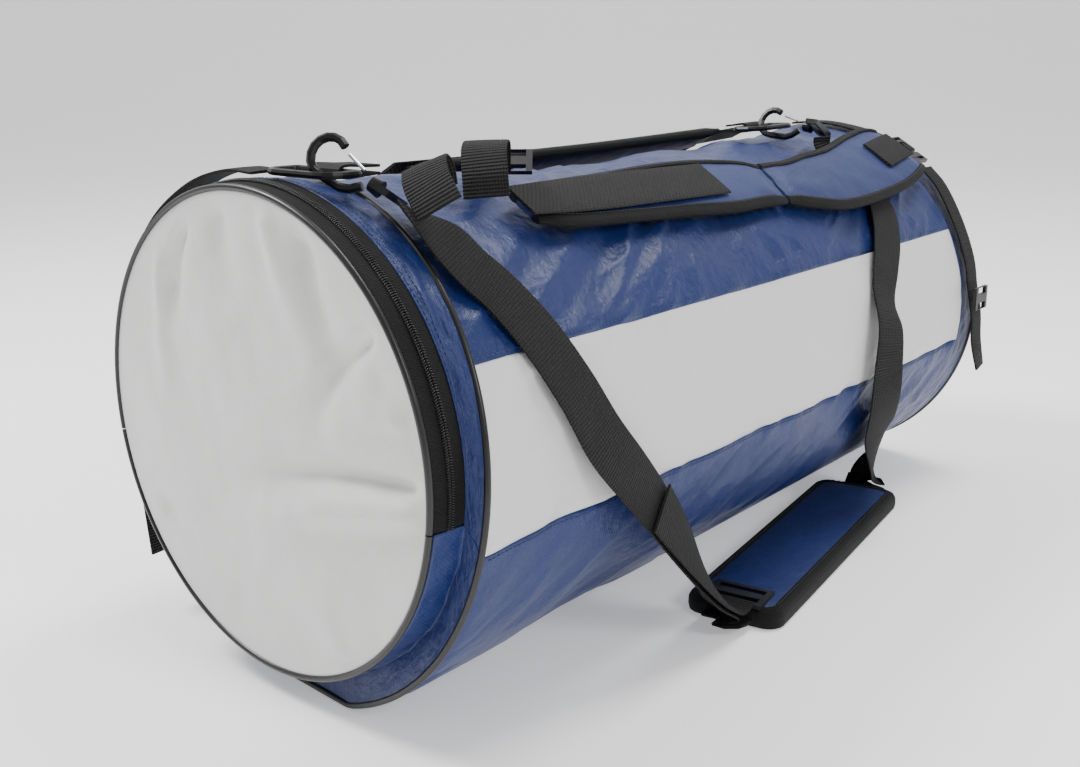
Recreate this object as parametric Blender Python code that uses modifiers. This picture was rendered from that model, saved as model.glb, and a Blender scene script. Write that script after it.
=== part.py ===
"""Barrel sports duffel bag, 356 mm across and 744 mm long, with its straps, zip and hardware.

The frame is in metres: +X runs along the barrel from the zipped white end to the plain end,
-Y is the side that carries the shoulder strap, and +Z is up. The origin is the middle of the
flat strip that the bag rests on. Angles round the barrel start at the middle of the -Y side
and pass over the top.
"""

import math

import bmesh
import bpy
import numpy as np
from mathutils import Matrix, Vector

# Barrel
LENGTH = 0.744
RADIUS = 0.178
HALF_HEIGHT = 0.177
CENTRE_Z = 0.170
REAR_RADIUS = 0.173
REAR_HALF_HEIGHT = 0.172
REAR_CENTRE_Z = 0.1685
WALL = 0.002
SEAM_GAP = 0.0004
FRONT_X = -0.378
REAR_X = FRONT_X + LENGTH
REAR_GUSSET = 0.030
TOP_SAG = 0.014
STRIPE_TOP = 27.0
STRIPE_BOTTOM = -10.0

# Zipped end
END_RADIUS = 0.164
END_CENTRE_Z = 0.184
PIPING_RADIUS = 0.0022
ZIP_END_ANGLE = 9.0
ZIP_START = 0.0028
ZIP_WIDTH = 0.0232
ZIP_OUTER_RADIUS = 0.1668
TAPE = 0.0010
COIL_RADIUS = 0.0009
GUSSET_DEPTH = 0.041
SEAM_LEAN_Z = 0.117
SEAM_LEAN_Y = 0.05
FLAP_AXIS_X = FRONT_X - 0.0035
FLAP_AXIS_Z = END_CENTRE_Z - END_RADIUS * math.sin(math.radians(ZIP_END_ANGLE))

# Webbing and pads
WEBBING = 0.038
WEB_THICK = 0.0018
PAD_THICK = 0.010
PAD_LENGTH = 0.306
PAD_WIDTH = 0.078
SHOULDER_PAD_THICK = 0.014
PAD_CENTRE = Vector((0.0618, -0.1600, 0.0))
PAD_TURN = math.radians(9.0)
LOOP_WEBBING = 0.030
D_RING_WIDTH = 0.062
D_RING_DEPTH = 0.027
D_RING_BAR = 0.0024
BAR_CORNER = 0.004
BOW_CORNER = 0.011
HOOK_BAR = 0.0030
RIM_STRAP = 0.022
RIM_STRAP_X = REAR_X - 0.0160

BLUE = (0.022, 0.055, 0.190)
WHITE = (0.86, 0.86, 0.85)
BLACK_WEB = (0.012, 0.012, 0.013)
BLACK_PLASTIC = (0.015, 0.015, 0.016)
STEEL = (0.62, 0.62, 0.63)


def clear_scene():
    for item in list(bpy.data.objects):
        bpy.data.objects.remove(item)


def material(name, colour, roughness, metallic=0.0):
    made = bpy.data.materials.new(name)
    made.use_nodes = True
    shader = made.node_tree.nodes["Principled BSDF"]
    shader.inputs["Base Color"].default_value = (*colour, 1.0)
    shader.inputs["Roughness"].default_value = roughness
    shader.inputs["Metallic"].default_value = metallic
    return made


def add_object(name, mesh, finish, smooth=True):
    made = bpy.data.objects.new(name, mesh)
    made.data.materials.append(finish)
    if smooth:
        mesh.shade_smooth()
        mesh.set_sharp_from_angle(angle=math.radians(35))
    PARTS.objects.link(made)
    return made


def empty_at(name, place):
    made = bpy.data.objects.new(name, None)
    made.location = place
    PARTS.objects.link(made)
    return made


def hang_on(child, axis_empty):
    """Parents an object to the empty on its joint's axis and leaves it where it is."""
    child.parent = axis_empty
    child.matrix_parent_inverse = Matrix.Translation(axis_empty.location).inverted()


# ---- Surfaces of the bag -------------------------------------------------------------------


def oval(angle, half_width, half_height, centre_z, x):
    """A point of a cross-section, pressed flat where it meets the floor."""
    turn = math.radians(angle)
    z = centre_z + half_height * math.sin(turn)
    return Vector((x, -half_width * math.cos(turn), max(z, 0.0)))


def seam_point(angle, offset=0.0):
    """The seam between the gusset and the barrel, which leans back at the top."""
    point = oval(angle, RADIUS, HALF_HEIGHT, CENTRE_Z, 0.0)
    lean = SEAM_LEAN_Z * (point.z - CENTRE_Z) + SEAM_LEAN_Y * point.y
    point.x = FRONT_X + GUSSET_DEPTH + lean + offset
    return point


def rear_point(angle, offset=0.0):
    return oval(angle, REAR_RADIUS, REAR_HALF_HEIGHT, REAR_CENTRE_Z, REAR_X + offset)


def end_ring(angle, depth, radius):
    turn = math.radians(angle)
    return Vector(
        (FRONT_X + depth, -radius * math.cos(turn), END_CENTRE_Z + radius * math.sin(turn))
    )


def zip_ring(angle, depth, lift=0.0):
    """A point of the zip's band, a shallow cone round the end's own centre."""
    share = (depth - ZIP_START) / ZIP_WIDTH
    radius = END_RADIUS + 0.0005 + (ZIP_OUTER_RADIUS - END_RADIUS - 0.0005) * share
    return end_ring(angle, depth, radius + lift)


def sagged(point):
    """The packed barrel's top hangs lower between its two ends."""
    share = min(max((point.x - FRONT_X - GUSSET_DEPTH) / (LENGTH - GUSSET_DEPTH), 0.0), 1.0)
    height = max((point.z - CENTRE_Z) / HALF_HEIGHT, 0.0)
    point.z -= TOP_SAG * math.sin(math.pi * share) * height**3
    return point


def barrel(x, angle, lift=0.0):
    """A point lift above the barrel's skin."""
    front = oval(angle, RADIUS, HALF_HEIGHT, CENTRE_Z, x)
    rear = oval(angle, REAR_RADIUS, REAR_HALF_HEIGHT, REAR_CENTRE_Z, x)
    share = (x - FRONT_X) / LENGTH
    turn = math.radians(angle)
    out = Vector((0.0, -math.cos(turn), math.sin(turn)))
    return sagged(front.lerp(rear, share)) + out * lift


def skin(name, start, end, angles, rows, finish, thick=WALL, settle=None):
    """A wall between two edges, each a function of the angle, thickened inwards."""
    bm = bmesh.new()
    first, last = angles
    columns = max(2, round(abs(last - first) / 6.0))
    bmesh.ops.create_grid(bm, x_segments=columns, y_segments=rows, size=0.5)
    for vert in bm.verts:
        angle = first + (last - first) * (vert.co.x + 0.5)
        share = vert.co.y + 0.5
        point = start(angle).lerp(end(angle), share)
        vert.co = settle(point) if settle else point
    bm.normal_update()
    outward = sum(
        face.normal.dot(face.calc_center_median() - Vector((face.verts[0].co.x, 0, CENTRE_Z)))
        for face in bm.faces
    )
    if outward < 0:
        bmesh.ops.reverse_faces(bm, faces=bm.faces)
    mesh = bpy.data.meshes.new(name)
    bm.to_mesh(mesh)
    bm.free()
    made = add_object(name, mesh, finish)
    solid = made.modifiers.new("Cloth thickness", "SOLIDIFY")
    solid.thickness = thick
    solid.offset = -1.0
    solid.use_even_offset = True
    return made


def tube(name, points, radius, finish, closed=False, resolution=2):
    """A round bar through the points, as a closed mesh with welded caps."""
    curve = bpy.data.curves.new(name, "CURVE")
    curve.dimensions = "3D"
    curve.bevel_depth = radius
    curve.bevel_resolution = resolution
    curve.use_fill_caps = not closed
    spline = curve.splines.new("POLY")
    spline.points.add(len(points) - 1)
    for spot, point in zip(spline.points, points):
        spot.co = (*point, 1.0)
    spline.use_cyclic_u = closed
    return add_object(name, welded_mesh(curve, name), finish)


def welded_mesh(curve, name):
    guide = bpy.data.objects.new(name + "_guide", curve)
    PARTS.objects.link(guide)
    graph = bpy.context.evaluated_depsgraph_get()
    mesh = bpy.data.meshes.new_from_object(guide.evaluated_get(graph))
    bpy.data.objects.remove(guide)
    bm = bmesh.new()
    bm.from_mesh(mesh)
    bmesh.ops.remove_doubles(bm, verts=bm.verts, dist=1e-6)
    bmesh.ops.recalc_face_normals(bm, faces=bm.faces)
    bm.to_mesh(mesh)
    bm.free()
    mesh.name = name
    return mesh


def plate(name, outlines, thick, finish, place):
    """A flat piece from an outline and its holes, put at a place matrix."""
    curve = bpy.data.curves.new(name, "CURVE")
    curve.dimensions = "2D"
    curve.fill_mode = "BOTH"
    curve.extrude = thick / 2
    for outline in outlines:
        spline = curve.splines.new("POLY")
        spline.points.add(len(outline) - 1)
        for spot, point in zip(spline.points, outline):
            spot.co = (point[0], point[1], 0.0, 1.0)
        spline.use_cyclic_u = True
    made = add_object(name, welded_mesh(curve, name), finish)
    made.matrix_world = place
    return made


def rectangle(width, height, centre=(0.0, 0.0)):
    x, y = width / 2, height / 2
    return [
        (centre[0] + a * x, centre[1] + b * y) for a, b in ((-1, -1), (1, -1), (1, 1), (-1, 1))
    ]


def frame_matrix(place, along, across):
    """A matrix whose X runs along, whose Y lies towards across, at a place."""
    first = Vector(along).normalized()
    third = first.cross(Vector(across)).normalized()
    second = third.cross(first)
    turned = Matrix((first, second, third)).transposed().to_4x4()
    return Matrix.Translation(place) @ turned


def smooth_path(knots, steps):
    """Points of a Catmull-Rom curve through the knots, each a row of numbers."""
    rows = np.array(knots, dtype=float)
    padded = np.vstack([2 * rows[0] - rows[1], rows, 2 * rows[-1] - rows[-2]])
    found = []
    for index in range(1, len(padded) - 2):
        before, start, end, after = padded[index - 1 : index + 3]
        for step in range(steps):
            t = step / steps
            found.append(
                0.5
                * (
                    2 * start
                    + (end - before) * t
                    + (2 * before - 5 * start + 4 * end - after) * t * t
                    + (3 * start - before - 3 * end + after) * t**3
                )
            )
    found.append(padded[-2])
    return np.array(found)


def ribbon(name, rows, thick, finish, steps=4, rounded=0.0):
    """A flat band; each row holds its middle, its width and the way its face looks."""
    path = smooth_path(rows, steps)
    bm = bmesh.new()
    rings = []
    for index, row in enumerate(path):
        middle = Vector(row[0:3])
        width = row[3]
        ahead = Vector(path[min(index + 1, len(path) - 1)][0:3])
        behind = Vector(path[max(index - 1, 0)][0:3])
        along = (ahead - behind).normalized()
        face = Vector(row[4:7])
        face = (face - along * face.dot(along)).normalized()
        side = along.cross(face)
        half = width / 2
        inset = rounded * thick
        if rounded:
            section = [
                (-half, -thick * 0.2),
                (-half + inset, -thick / 2),
                (half - inset, -thick / 2),
                (half, -thick * 0.2),
                (half, thick * 0.2),
                (half - inset, thick / 2),
                (-half + inset, thick / 2),
                (-half, thick * 0.2),
            ]
        else:
            section = [
                (-half, -thick / 2),
                (half, -thick / 2),
                (half, thick / 2),
                (-half, thick / 2),
            ]
        rings.append([bm.verts.new(middle + side * a + face * b) for a, b in section])
    count = len(rings[0])
    for first, second in zip(rings, rings[1:]):
        for index in range(count):
            after = (index + 1) % count
            bm.faces.new((first[index], first[after], second[after], second[index]))
    bm.faces.new(rings[0][::-1])
    bm.faces.new(rings[-1])
    bmesh.ops.recalc_face_normals(bm, faces=bm.faces)
    mesh = bpy.data.meshes.new(name)
    bm.to_mesh(mesh)
    bm.free()
    return add_object(name, mesh, finish)


def on_barrel(x, angle, lift, width):
    """A ribbon row that lies lift above the skin and faces straight out of it."""
    turn = math.radians(angle)
    return (*barrel(x, angle, lift), width, 0.0, -math.cos(turn), math.sin(turn))


# ---- The bag's own pieces ------------------------------------------------------------------


def piping_ring(name, point_at):
    """Round piping along a seam, kept on the floor's side of the bag where it meets the floor."""
    ring = [point_at(angle) for angle in range(0, 360, 6)]
    for point in ring:
        point.z = max(point.z, PIPING_RADIUS)
    tube(name, ring, PIPING_RADIUS, FINISH["piping"], closed=True)


def build_barrel():
    gap = math.degrees(SEAM_GAP / RADIUS)
    seam_clear = PIPING_RADIUS + 0.0008
    panels = {
        "near_stripe_panel": (STRIPE_BOTTOM, STRIPE_TOP, FINISH["white_fabric"]),
        "top_panel": (STRIPE_TOP, 180 - STRIPE_TOP, FINISH["blue_fabric"]),
        "far_stripe_panel": (180 - STRIPE_TOP, 180 - STRIPE_BOTTOM, FINISH["white_fabric"]),
        "bottom_panel": (180 - STRIPE_BOTTOM, 360 + STRIPE_BOTTOM, FINISH["blue_fabric"]),
    }
    for name, (first, last, finish) in panels.items():
        skin(
            name,
            lambda angle: seam_point(angle, seam_clear),
            lambda angle: rear_point(angle, -REAR_GUSSET),
            (first + gap / 2, last - gap / 2),
            8,
            finish,
            settle=sagged,
        )
    skin(
        "rear_gusset",
        lambda angle: rear_point(angle, -REAR_GUSSET + SEAM_GAP),
        lambda angle: rear_point(angle, -seam_clear),
        (-90, 269.6),
        1,
        FINISH["blue_fabric"],
        settle=sagged,
    )
    piping_ring("gusset_seam_piping", seam_point)
    piping_ring("rear_rim_piping", rear_point)
    inner = 1.0 - (PIPING_RADIUS + 0.0006) / REAR_RADIUS
    lowest = 2 * PIPING_RADIUS + 0.0006
    outline = []
    for angle in range(0, 360, 6):
        point = rear_point(angle)
        height = max(REAR_CENTRE_Z + (point.z - REAR_CENTRE_Z) * inner, lowest)
        outline.append((point.y * inner, height - REAR_CENTRE_Z))
    place = frame_matrix((REAR_X, 0.0, REAR_CENTRE_Z), (0, 1, 0), (0, 0, 1))
    plate("rear_end_panel", [outline], WALL, FINISH["white_fabric"], place)


def build_gusset():
    seam_clear = PIPING_RADIUS + 0.0020
    zip_end = ZIP_START + ZIP_WIDTH
    skin(
        "gusset_upper",
        lambda angle: zip_ring(angle, zip_end + 0.0004),
        lambda angle: seam_point(angle, -seam_clear),
        (-ZIP_END_ANGLE + 0.2, 180 + ZIP_END_ANGLE - 0.2),
        2,
        FINISH["blue_fabric"],
    )
    skin(
        "gusset_lower",
        lambda angle: zip_ring(angle, ZIP_START),
        lambda angle: seam_point(angle, -seam_clear),
        (180 + ZIP_END_ANGLE + 0.2, 360 - ZIP_END_ANGLE - 0.2),
        2,
        FINISH["blue_fabric"],
    )


def build_zipped_end(flap_axis):
    """The round white end: its upper part folds out along the chord between the zip's ends."""
    disc = END_RADIUS - PIPING_RADIUS - 0.0004
    drop = END_CENTRE_Z - FLAP_AXIS_Z
    cut = math.degrees(math.asin((drop - 0.0004) / disc))
    lower_cut = math.degrees(math.asin((drop + 0.0004) / disc))
    turns = np.linspace(-cut, 180 + cut, 36)
    upper = [
        (-disc * math.cos(math.radians(t)), disc * math.sin(math.radians(t))) for t in turns
    ]
    turns = np.linspace(180 + lower_cut, 360 - lower_cut, 30)
    lower = [
        (-disc * math.cos(math.radians(t)), disc * math.sin(math.radians(t))) for t in turns
    ]
    place = frame_matrix((FRONT_X, 0.0, END_CENTRE_Z), (0, 1, 0), (0, 0, 1))
    flap = plate("end_flap", [upper], WALL, FINISH["white_fabric"], place)
    plate("end_panel_lower", [lower], WALL, FINISH["white_fabric"], place)
    first, last = -ZIP_END_ANGLE + 1.0, 180 + ZIP_END_ANGLE - 1.0
    arc = [end_ring(angle, 0.0, END_RADIUS) for angle in np.linspace(first, last, 40)]
    flap_piping = tube("flap_rim_piping", arc, PIPING_RADIUS, FINISH["piping"])
    first, last = 180 + ZIP_END_ANGLE + 1.0, 360 - ZIP_END_ANGLE - 1.0
    arc = [end_ring(angle, 0.0, END_RADIUS) for angle in np.linspace(first, last, 34)]
    tube("lower_rim_piping", arc, PIPING_RADIUS, FINISH["piping"])
    hang_on(flap, flap_axis)
    hang_on(flap_piping, flap_axis)


def build_zip(flap_axis, slide_axis):
    """Two tapes with a coil each, the slider on them and its pull."""
    middle = ZIP_START + ZIP_WIDTH / 2
    first, last = -ZIP_END_ANGLE + 0.4, 180 + ZIP_END_ANGLE - 0.4
    edges = {
        "zip_tape_flap_side": (ZIP_START + 0.0003, middle - 0.0003),
        "zip_tape_gusset_side": (middle + 0.0003, ZIP_START + ZIP_WIDTH),
    }
    for name, (near, far) in edges.items():
        tape = skin(
            name,
            lambda angle, depth=near: zip_ring(angle, depth),
            lambda angle, depth=far: zip_ring(angle, depth),
            (first, last),
            1,
            FINISH["zip_tape"],
            TAPE,
        )
        if name.endswith("flap_side"):
            hang_on(tape, flap_axis)
    lift = COIL_RADIUS + 0.0004
    for name, depth in (
        ("zip_coil_flap_side", middle - 0.0013),
        ("zip_coil_gusset_side", middle + 0.0013),
    ):
        arc = [zip_ring(angle, depth, lift) for angle in np.linspace(first, last, 44)]
        coil = tube(name, arc, COIL_RADIUS, FINISH["zip_coil"], resolution=1)
        if name.endswith("flap_side"):
            hang_on(coil, flap_axis)
    parked = 180 + ZIP_END_ANGLE - 5.0
    spot = zip_ring(parked, middle, 2 * COIL_RADIUS + 0.0026)
    turn = math.radians(parked)
    along = Vector((0.0, math.sin(turn), math.cos(turn)))
    out = Vector((0.0, -math.cos(turn), math.sin(turn)))
    across = Vector((1.0, 0.0, 0.0))
    body = [(-0.0055, -0.0030), (0.0055, -0.0046), (0.0055, 0.0046), (-0.0055, 0.0030)]
    slider = plate("zip_slider", [body], 0.0024, FINISH["zip_metal"], frame_matrix(spot, along, across))
    pull_spot = spot + out * 0.0026
    reach = 0.026
    outline = [
        (0.0, -0.0022),
        (reach, -0.0034),
        (reach + 0.003, 0.0),
        (reach, 0.0034),
        (0.0, 0.0022),
    ]
    hole = rectangle(0.006, 0.003, (reach - 0.003, 0.0))
    place = frame_matrix(pull_spot, along, across)
    pull = plate("zip_pull", [outline, hole], 0.0014, FINISH["zip_metal"], place)
    hang_on(slider, slide_axis)
    pull_axis = empty_at("zip_pull_axis", pull_spot)
    hang_on(pull, pull_axis)
    hang_on(pull_axis, slide_axis)


# ---- Hardware ------------------------------------------------------------------------------


def d_ring_points(width, depth):
    """A flat D: a straight bar on Y at x = 0, and a bow with wide corners out to x = depth."""
    half = width / 2
    points = []
    for side_x, side_y, radius, start in (
        (0.0, -1, BAR_CORNER, 180),
        (1.0, -1, BOW_CORNER, 270),
        (1.0, 1, BOW_CORNER, 0),
        (0.0, 1, BAR_CORNER, 90),
    ):
        middle_x = depth - radius if side_x else radius
        middle_y = side_y * (half - radius)
        for step in range(4):
            turn = math.radians(start + 30 * step)
            points.append((middle_x + radius * math.cos(turn), middle_y + radius * math.sin(turn)))
    return points


def ring_with_keeper(prefix, place, finish, reach):
    """A D-ring lying on the bag, with the webbing keeper that its straight bar turns in."""
    points = [place @ Vector((x, y, 0.0)) for x, y in d_ring_points(D_RING_WIDTH, D_RING_DEPTH)]
    ring = tube(prefix + "_d_ring", points, D_RING_BAR, finish, closed=True)
    axis = empty_at(prefix + "_d_ring_axis", place.translation)
    hang_on(ring, axis)
    clear = D_RING_BAR + WEB_THICK / 2 + 0.0006
    knots = [
        (-reach, clear * 0.55),
        (-reach * 0.55, clear * 0.75),
        (-0.004, clear),
        (0.0024, clear * 0.72),
        (clear, 0.0),
        (0.0024, -clear * 0.72),
        (-0.004, -clear),
        (-reach * 0.55, -clear * 0.75),
        (-reach, -clear * 0.55 - 0.0004),
    ]
    rows = []
    count = len(knots)
    for index, (x, z) in enumerate(knots):
        ahead = knots[min(index + 1, count - 1)]
        behind = knots[max(index - 1, 0)]
        face = Vector((-(ahead[1] - behind[1]), 0.0, ahead[0] - behind[0]))
        face = place.to_3x3() @ face
        rows.append((*(place @ Vector((x, 0.0, z))), 0.030, *face))
    keeper = ribbon(prefix + "_d_ring_keeper", rows, WEB_THICK, FINISH["webbing"], steps=2)
    return ring, keeper


def snap_hook(prefix, place):
    """A swivel snap hook: X runs from its eye to its nose and Y lies towards the gate."""
    swivel_axis = empty_at(prefix + "_hook_axis", place.translation)
    shank = 0.0145
    bend = 0.0115
    spine = -0.0125
    path = [
        (shank, spine * 0.35),
        (shank + 0.006, spine * 0.8),
        (shank + 0.012, spine),
        (shank + 0.020, spine),
    ]
    for step in range(10):
        turn = math.radians(-90 + 23.5 * step)
        path.append((shank + 0.029 + bend * math.cos(turn), 1.06 * bend * math.sin(turn)))
    points = [place @ Vector((x, y, 0.0)) for x, y in path]
    hook = tube(prefix + "_hook_body", points, HOOK_BAR, FINISH["hook_metal"])
    hang_on(hook, swivel_axis)
    gate_root = Vector((shank + 0.004, 0.0045, 0.0))
    gate_tip = Vector((shank + 0.0180, 0.0078, 0.0))
    gate_points = [place @ gate_root.lerp(gate_tip, share) for share in (0.0, 0.5, 1.0)]
    gate = tube(prefix + "_hook_gate", gate_points, 0.0012, FINISH["steel"])
    gate_axis = empty_at(prefix + "_hook_gate_axis", place @ gate_root)
    hang_on(gate, gate_axis)
    hang_on(gate_axis, swivel_axis)
    collar = bpy.data.meshes.new(prefix + "_hook_swivel")
    bm = bmesh.new()
    bmesh.ops.create_cone(
        bm, cap_ends=True, segments=16, radius1=0.0058, radius2=0.0048, depth=0.0075
    )
    bm.to_mesh(collar)
    bm.free()
    swivel = add_object(prefix + "_hook_swivel", collar, FINISH["hook_metal"])
    turned = Matrix.Translation((0.0068, 0.0, 0.0)) @ Matrix.Rotation(math.pi / 2, 4, "Y")
    swivel.matrix_world = place @ turned
    hang_on(swivel, swivel_axis)
    eye = rectangle(0.0115, 0.037, (-0.0035, 0.0))
    slot = rectangle(0.0055, 0.0310, (-0.0040, 0.0))
    flat = place @ Matrix.Rotation(math.pi / 2, 4, "X")
    plate(prefix + "_hook_eye", [eye, slot], 0.0045, FINISH["hook_metal"], flat)


def ladder_lock(name, place, width=0.048, depth=0.030):
    """A flat glide with two slots that webbing threads through."""
    outer = rectangle(depth, width)
    slots = [rectangle(0.0065, width - 0.009, (side * 0.0075, 0.0)) for side in (-1, 1)]
    return plate(name, [outer, *slots], 0.0034, FINISH["plastic"], place)


def side_release_buckle(prefix, place, scale):
    """A female housing and the male half whose two prongs slide out of it along X."""
    half = 0.024
    throat = 0.0165
    prong = throat - 0.0010
    housing = [
        (-0.020, -half),
        (0.014, -half),
        (0.018, -half + 0.004),
        (0.018, -throat),
        (-0.006, -throat),
        (-0.006, throat),
        (0.018, throat),
        (0.018, half - 0.004),
        (0.014, half),
        (-0.020, half),
    ]
    bar_slot = rectangle(0.005, 0.040, (-0.0145, 0.0))
    grip = [(-0.005, prong), (-0.005, prong - 0.005), (0.019, prong - 0.005), (0.019, 0.0025)]
    rail = [(-0.0035, 0.0020)]
    shoulder = [(0.044, 0.022), (0.0225, 0.022), (0.021, prong)]
    half_outline = shoulder + grip + rail
    male = half_outline + [(x, -y) for x, y in reversed(half_outline)]
    slot = rectangle(0.006, 0.036, (0.036, 0.0))
    for name, outlines, thick in (
        ("housing", [housing, bar_slot], 0.0085),
        ("prongs", [male, slot], 0.0060),
    ):
        scaled = [[(x * scale, y * scale) for x, y in outline] for outline in outlines]
        full = f"{prefix}_buckle_{name}"
        plate(full, scaled, thick * scale, FINISH["plastic"], place)


# ---- Straps --------------------------------------------------------------------------------


def build_shoulder_strap():
    """The webbing of the shoulder strap, its doubled length and adjuster, and its pad."""
    along = Vector((math.cos(PAD_TURN), math.sin(PAD_TURN), 0.0))
    level = 0.0055
    up = (0.0, 0.0, 1.0)

    def in_pad(distance, height=level):
        spot = PAD_CENTRE + along * distance
        return (spot.x, spot.y, height, WEBBING, *up)

    reach = PAD_LENGTH / 2
    front = [
        (-0.3240, -0.0935, 0.3385, 0.030, 0.52, -0.36, 0.78),
        (-0.3200, -0.1030, 0.3310, 0.032, 0.30, -0.50, 0.78),
        (-0.3120, -0.1170, 0.3180, 0.036, 0.0, -0.68, 0.74),
        (-0.3030, -0.1300, 0.3010, WEBBING, 0.0, -0.76, 0.65),
        (-0.2900, -0.1435, 0.2830, WEBBING, 0.0, -0.80, 0.60),
        (-0.2770, -0.1625, 0.2560, WEBBING, 0.0, -0.88, 0.46),
        (-0.2620, -0.1780, 0.2220, WEBBING, 0.0, -0.95, 0.30),
        (-0.2460, -0.1870, 0.1880, WEBBING, 0.0, -0.99, 0.10),
        (-0.2200, -0.1890, 0.1570, WEBBING, 0.08, -0.99, 0.05),
        (-0.1920, -0.1885, 0.1260, WEBBING, 0.15, -0.97, 0.15),
        (-0.1680, -0.1885, 0.0960, WEBBING, 0.25, -0.90, 0.30),
        (-0.1450, -0.1885, 0.0660, WEBBING, 0.30, -0.75, 0.55),
        (-0.1220, -0.1880, 0.0370, WEBBING, 0.28, -0.50, 0.80),
        (-0.1040, -0.1850, 0.0170, WEBBING, 0.20, -0.20, 0.95),
        in_pad(-reach - 0.012, level + 0.0010),
        in_pad(-reach + 0.004),
    ]
    middle = [in_pad(-reach * 0.5), in_pad(0.0), in_pad(reach * 0.5)]
    rear = [
        in_pad(reach - 0.002),
        in_pad(reach + 0.013, level + 0.0006),
        (0.2385, -0.1330, 0.0130, WEBBING, 0.95, -0.10, 0.20),
        (0.2300, -0.1410, 0.0310, WEBBING, 0.30, -0.80, 0.10),
        (0.2050, -0.1560, 0.0540, WEBBING, -0.10, -0.95, 0.10),
        (0.1760, -0.1710, 0.0820, WEBBING, -0.35, -0.92, 0.05),
        (0.1560, -0.1850, 0.1160, WEBBING, -0.30, -0.95, 0.05),
        (0.1480, -0.1900, 0.1500, WEBBING, -0.20, -0.97, 0.0),
        (0.1520, -0.1880, 0.1860, WEBBING, -0.10, -0.99, 0.05),
        on_barrel(0.163, 14, 0.0055, WEBBING),
        on_barrel(0.182, 23, 0.0055, WEBBING),
        on_barrel(0.205, 31, 0.0050, WEBBING),
        on_barrel(0.222, 39, 0.0050, WEBBING),
        on_barrel(0.229, 47, 0.0046, WEBBING),
        on_barrel(0.227, 55, 0.0046, WEBBING),
        on_barrel(0.226, 62, 0.0050, 0.034),
        (0.2240, -0.0750, 0.3330, 0.030, 0.0, -0.85, 0.50),
        (0.2240, -0.0745, 0.3405, 0.030, 0.0, -0.98, 0.20),
    ]
    run = front + middle + rear
    ribbon("shoulder_strap_webbing", run, WEB_THICK, FINISH["webbing"], steps=3)
    doubled = [
        (-0.2080, -0.1945, 0.1480, WEBBING, 0.10, -0.98, 0.10),
        (-0.1860, -0.1965, 0.1230, WEBBING, 0.18, -0.96, 0.18),
        (-0.1630, -0.1965, 0.0960, WEBBING, 0.25, -0.90, 0.35),
        (-0.1390, -0.1960, 0.0680, WEBBING, 0.30, -0.72, 0.60),
        (-0.1170, -0.1930, 0.0430, WEBBING, 0.28, -0.45, 0.82),
        (-0.1020, -0.1890, 0.0280, WEBBING, 0.24, -0.25, 0.92),
        (-0.0910, -0.1850, 0.0210, WEBBING, *up),
    ]
    ribbon("shoulder_strap_doubled_end", doubled, WEB_THICK, FINISH["webbing"], steps=3)
    glide = PAD_CENTRE - along * (reach - 0.016) + Vector((0.0, 0.0, 0.0164))
    ladder_lock("shoulder_strap_adjuster", frame_matrix(glide, along, (-along.y, along.x, 0.0)))
    slab = bmesh.new()
    bmesh.ops.create_cube(slab, size=1.0)
    pad = bpy.data.meshes.new("shoulder_pad")
    for vert in slab.verts:
        vert.co = Vector(
            (
                vert.co.x * PAD_LENGTH,
                vert.co.y * PAD_WIDTH,
                (vert.co.z + 0.5) * SHOULDER_PAD_THICK,
            )
        )
    upright = [edge for edge in slab.edges if abs(edge.verts[0].co.z - edge.verts[1].co.z) > 0.001]
    bmesh.ops.bevel(slab, geom=upright, offset=0.012, segments=3, affect="EDGES", profile=0.5)
    slab.to_mesh(pad)
    slab.free()
    made = add_object("shoulder_pad", pad, FINISH["blue_fabric"])
    made.matrix_world = Matrix.Translation(PAD_CENTRE) @ Matrix.Rotation(PAD_TURN, 4, "Z")
    channel = bmesh.new()
    bmesh.ops.create_cube(channel, size=1.0)
    for vert in channel.verts:
        vert.co = Vector(
            (
                vert.co.x * (PAD_LENGTH + 0.04),
                vert.co.y * (WEBBING + 0.004),
                level + vert.co.z * 0.0060,
            )
        )
    cutter_mesh = bpy.data.meshes.new("pad_channel")
    channel.to_mesh(cutter_mesh)
    channel.free()
    cutter = bpy.data.objects.new("pad_channel", cutter_mesh)
    CUTTERS.objects.link(cutter)
    cutter.hide_render = True
    cutter.display_type = "WIRE"
    cutter.matrix_world = made.matrix_world
    cut = made.modifiers.new("Strap channel", "BOOLEAN")
    cut.operation = "DIFFERENCE"
    cut.solver = "EXACT"
    cut.object = cutter


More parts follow.
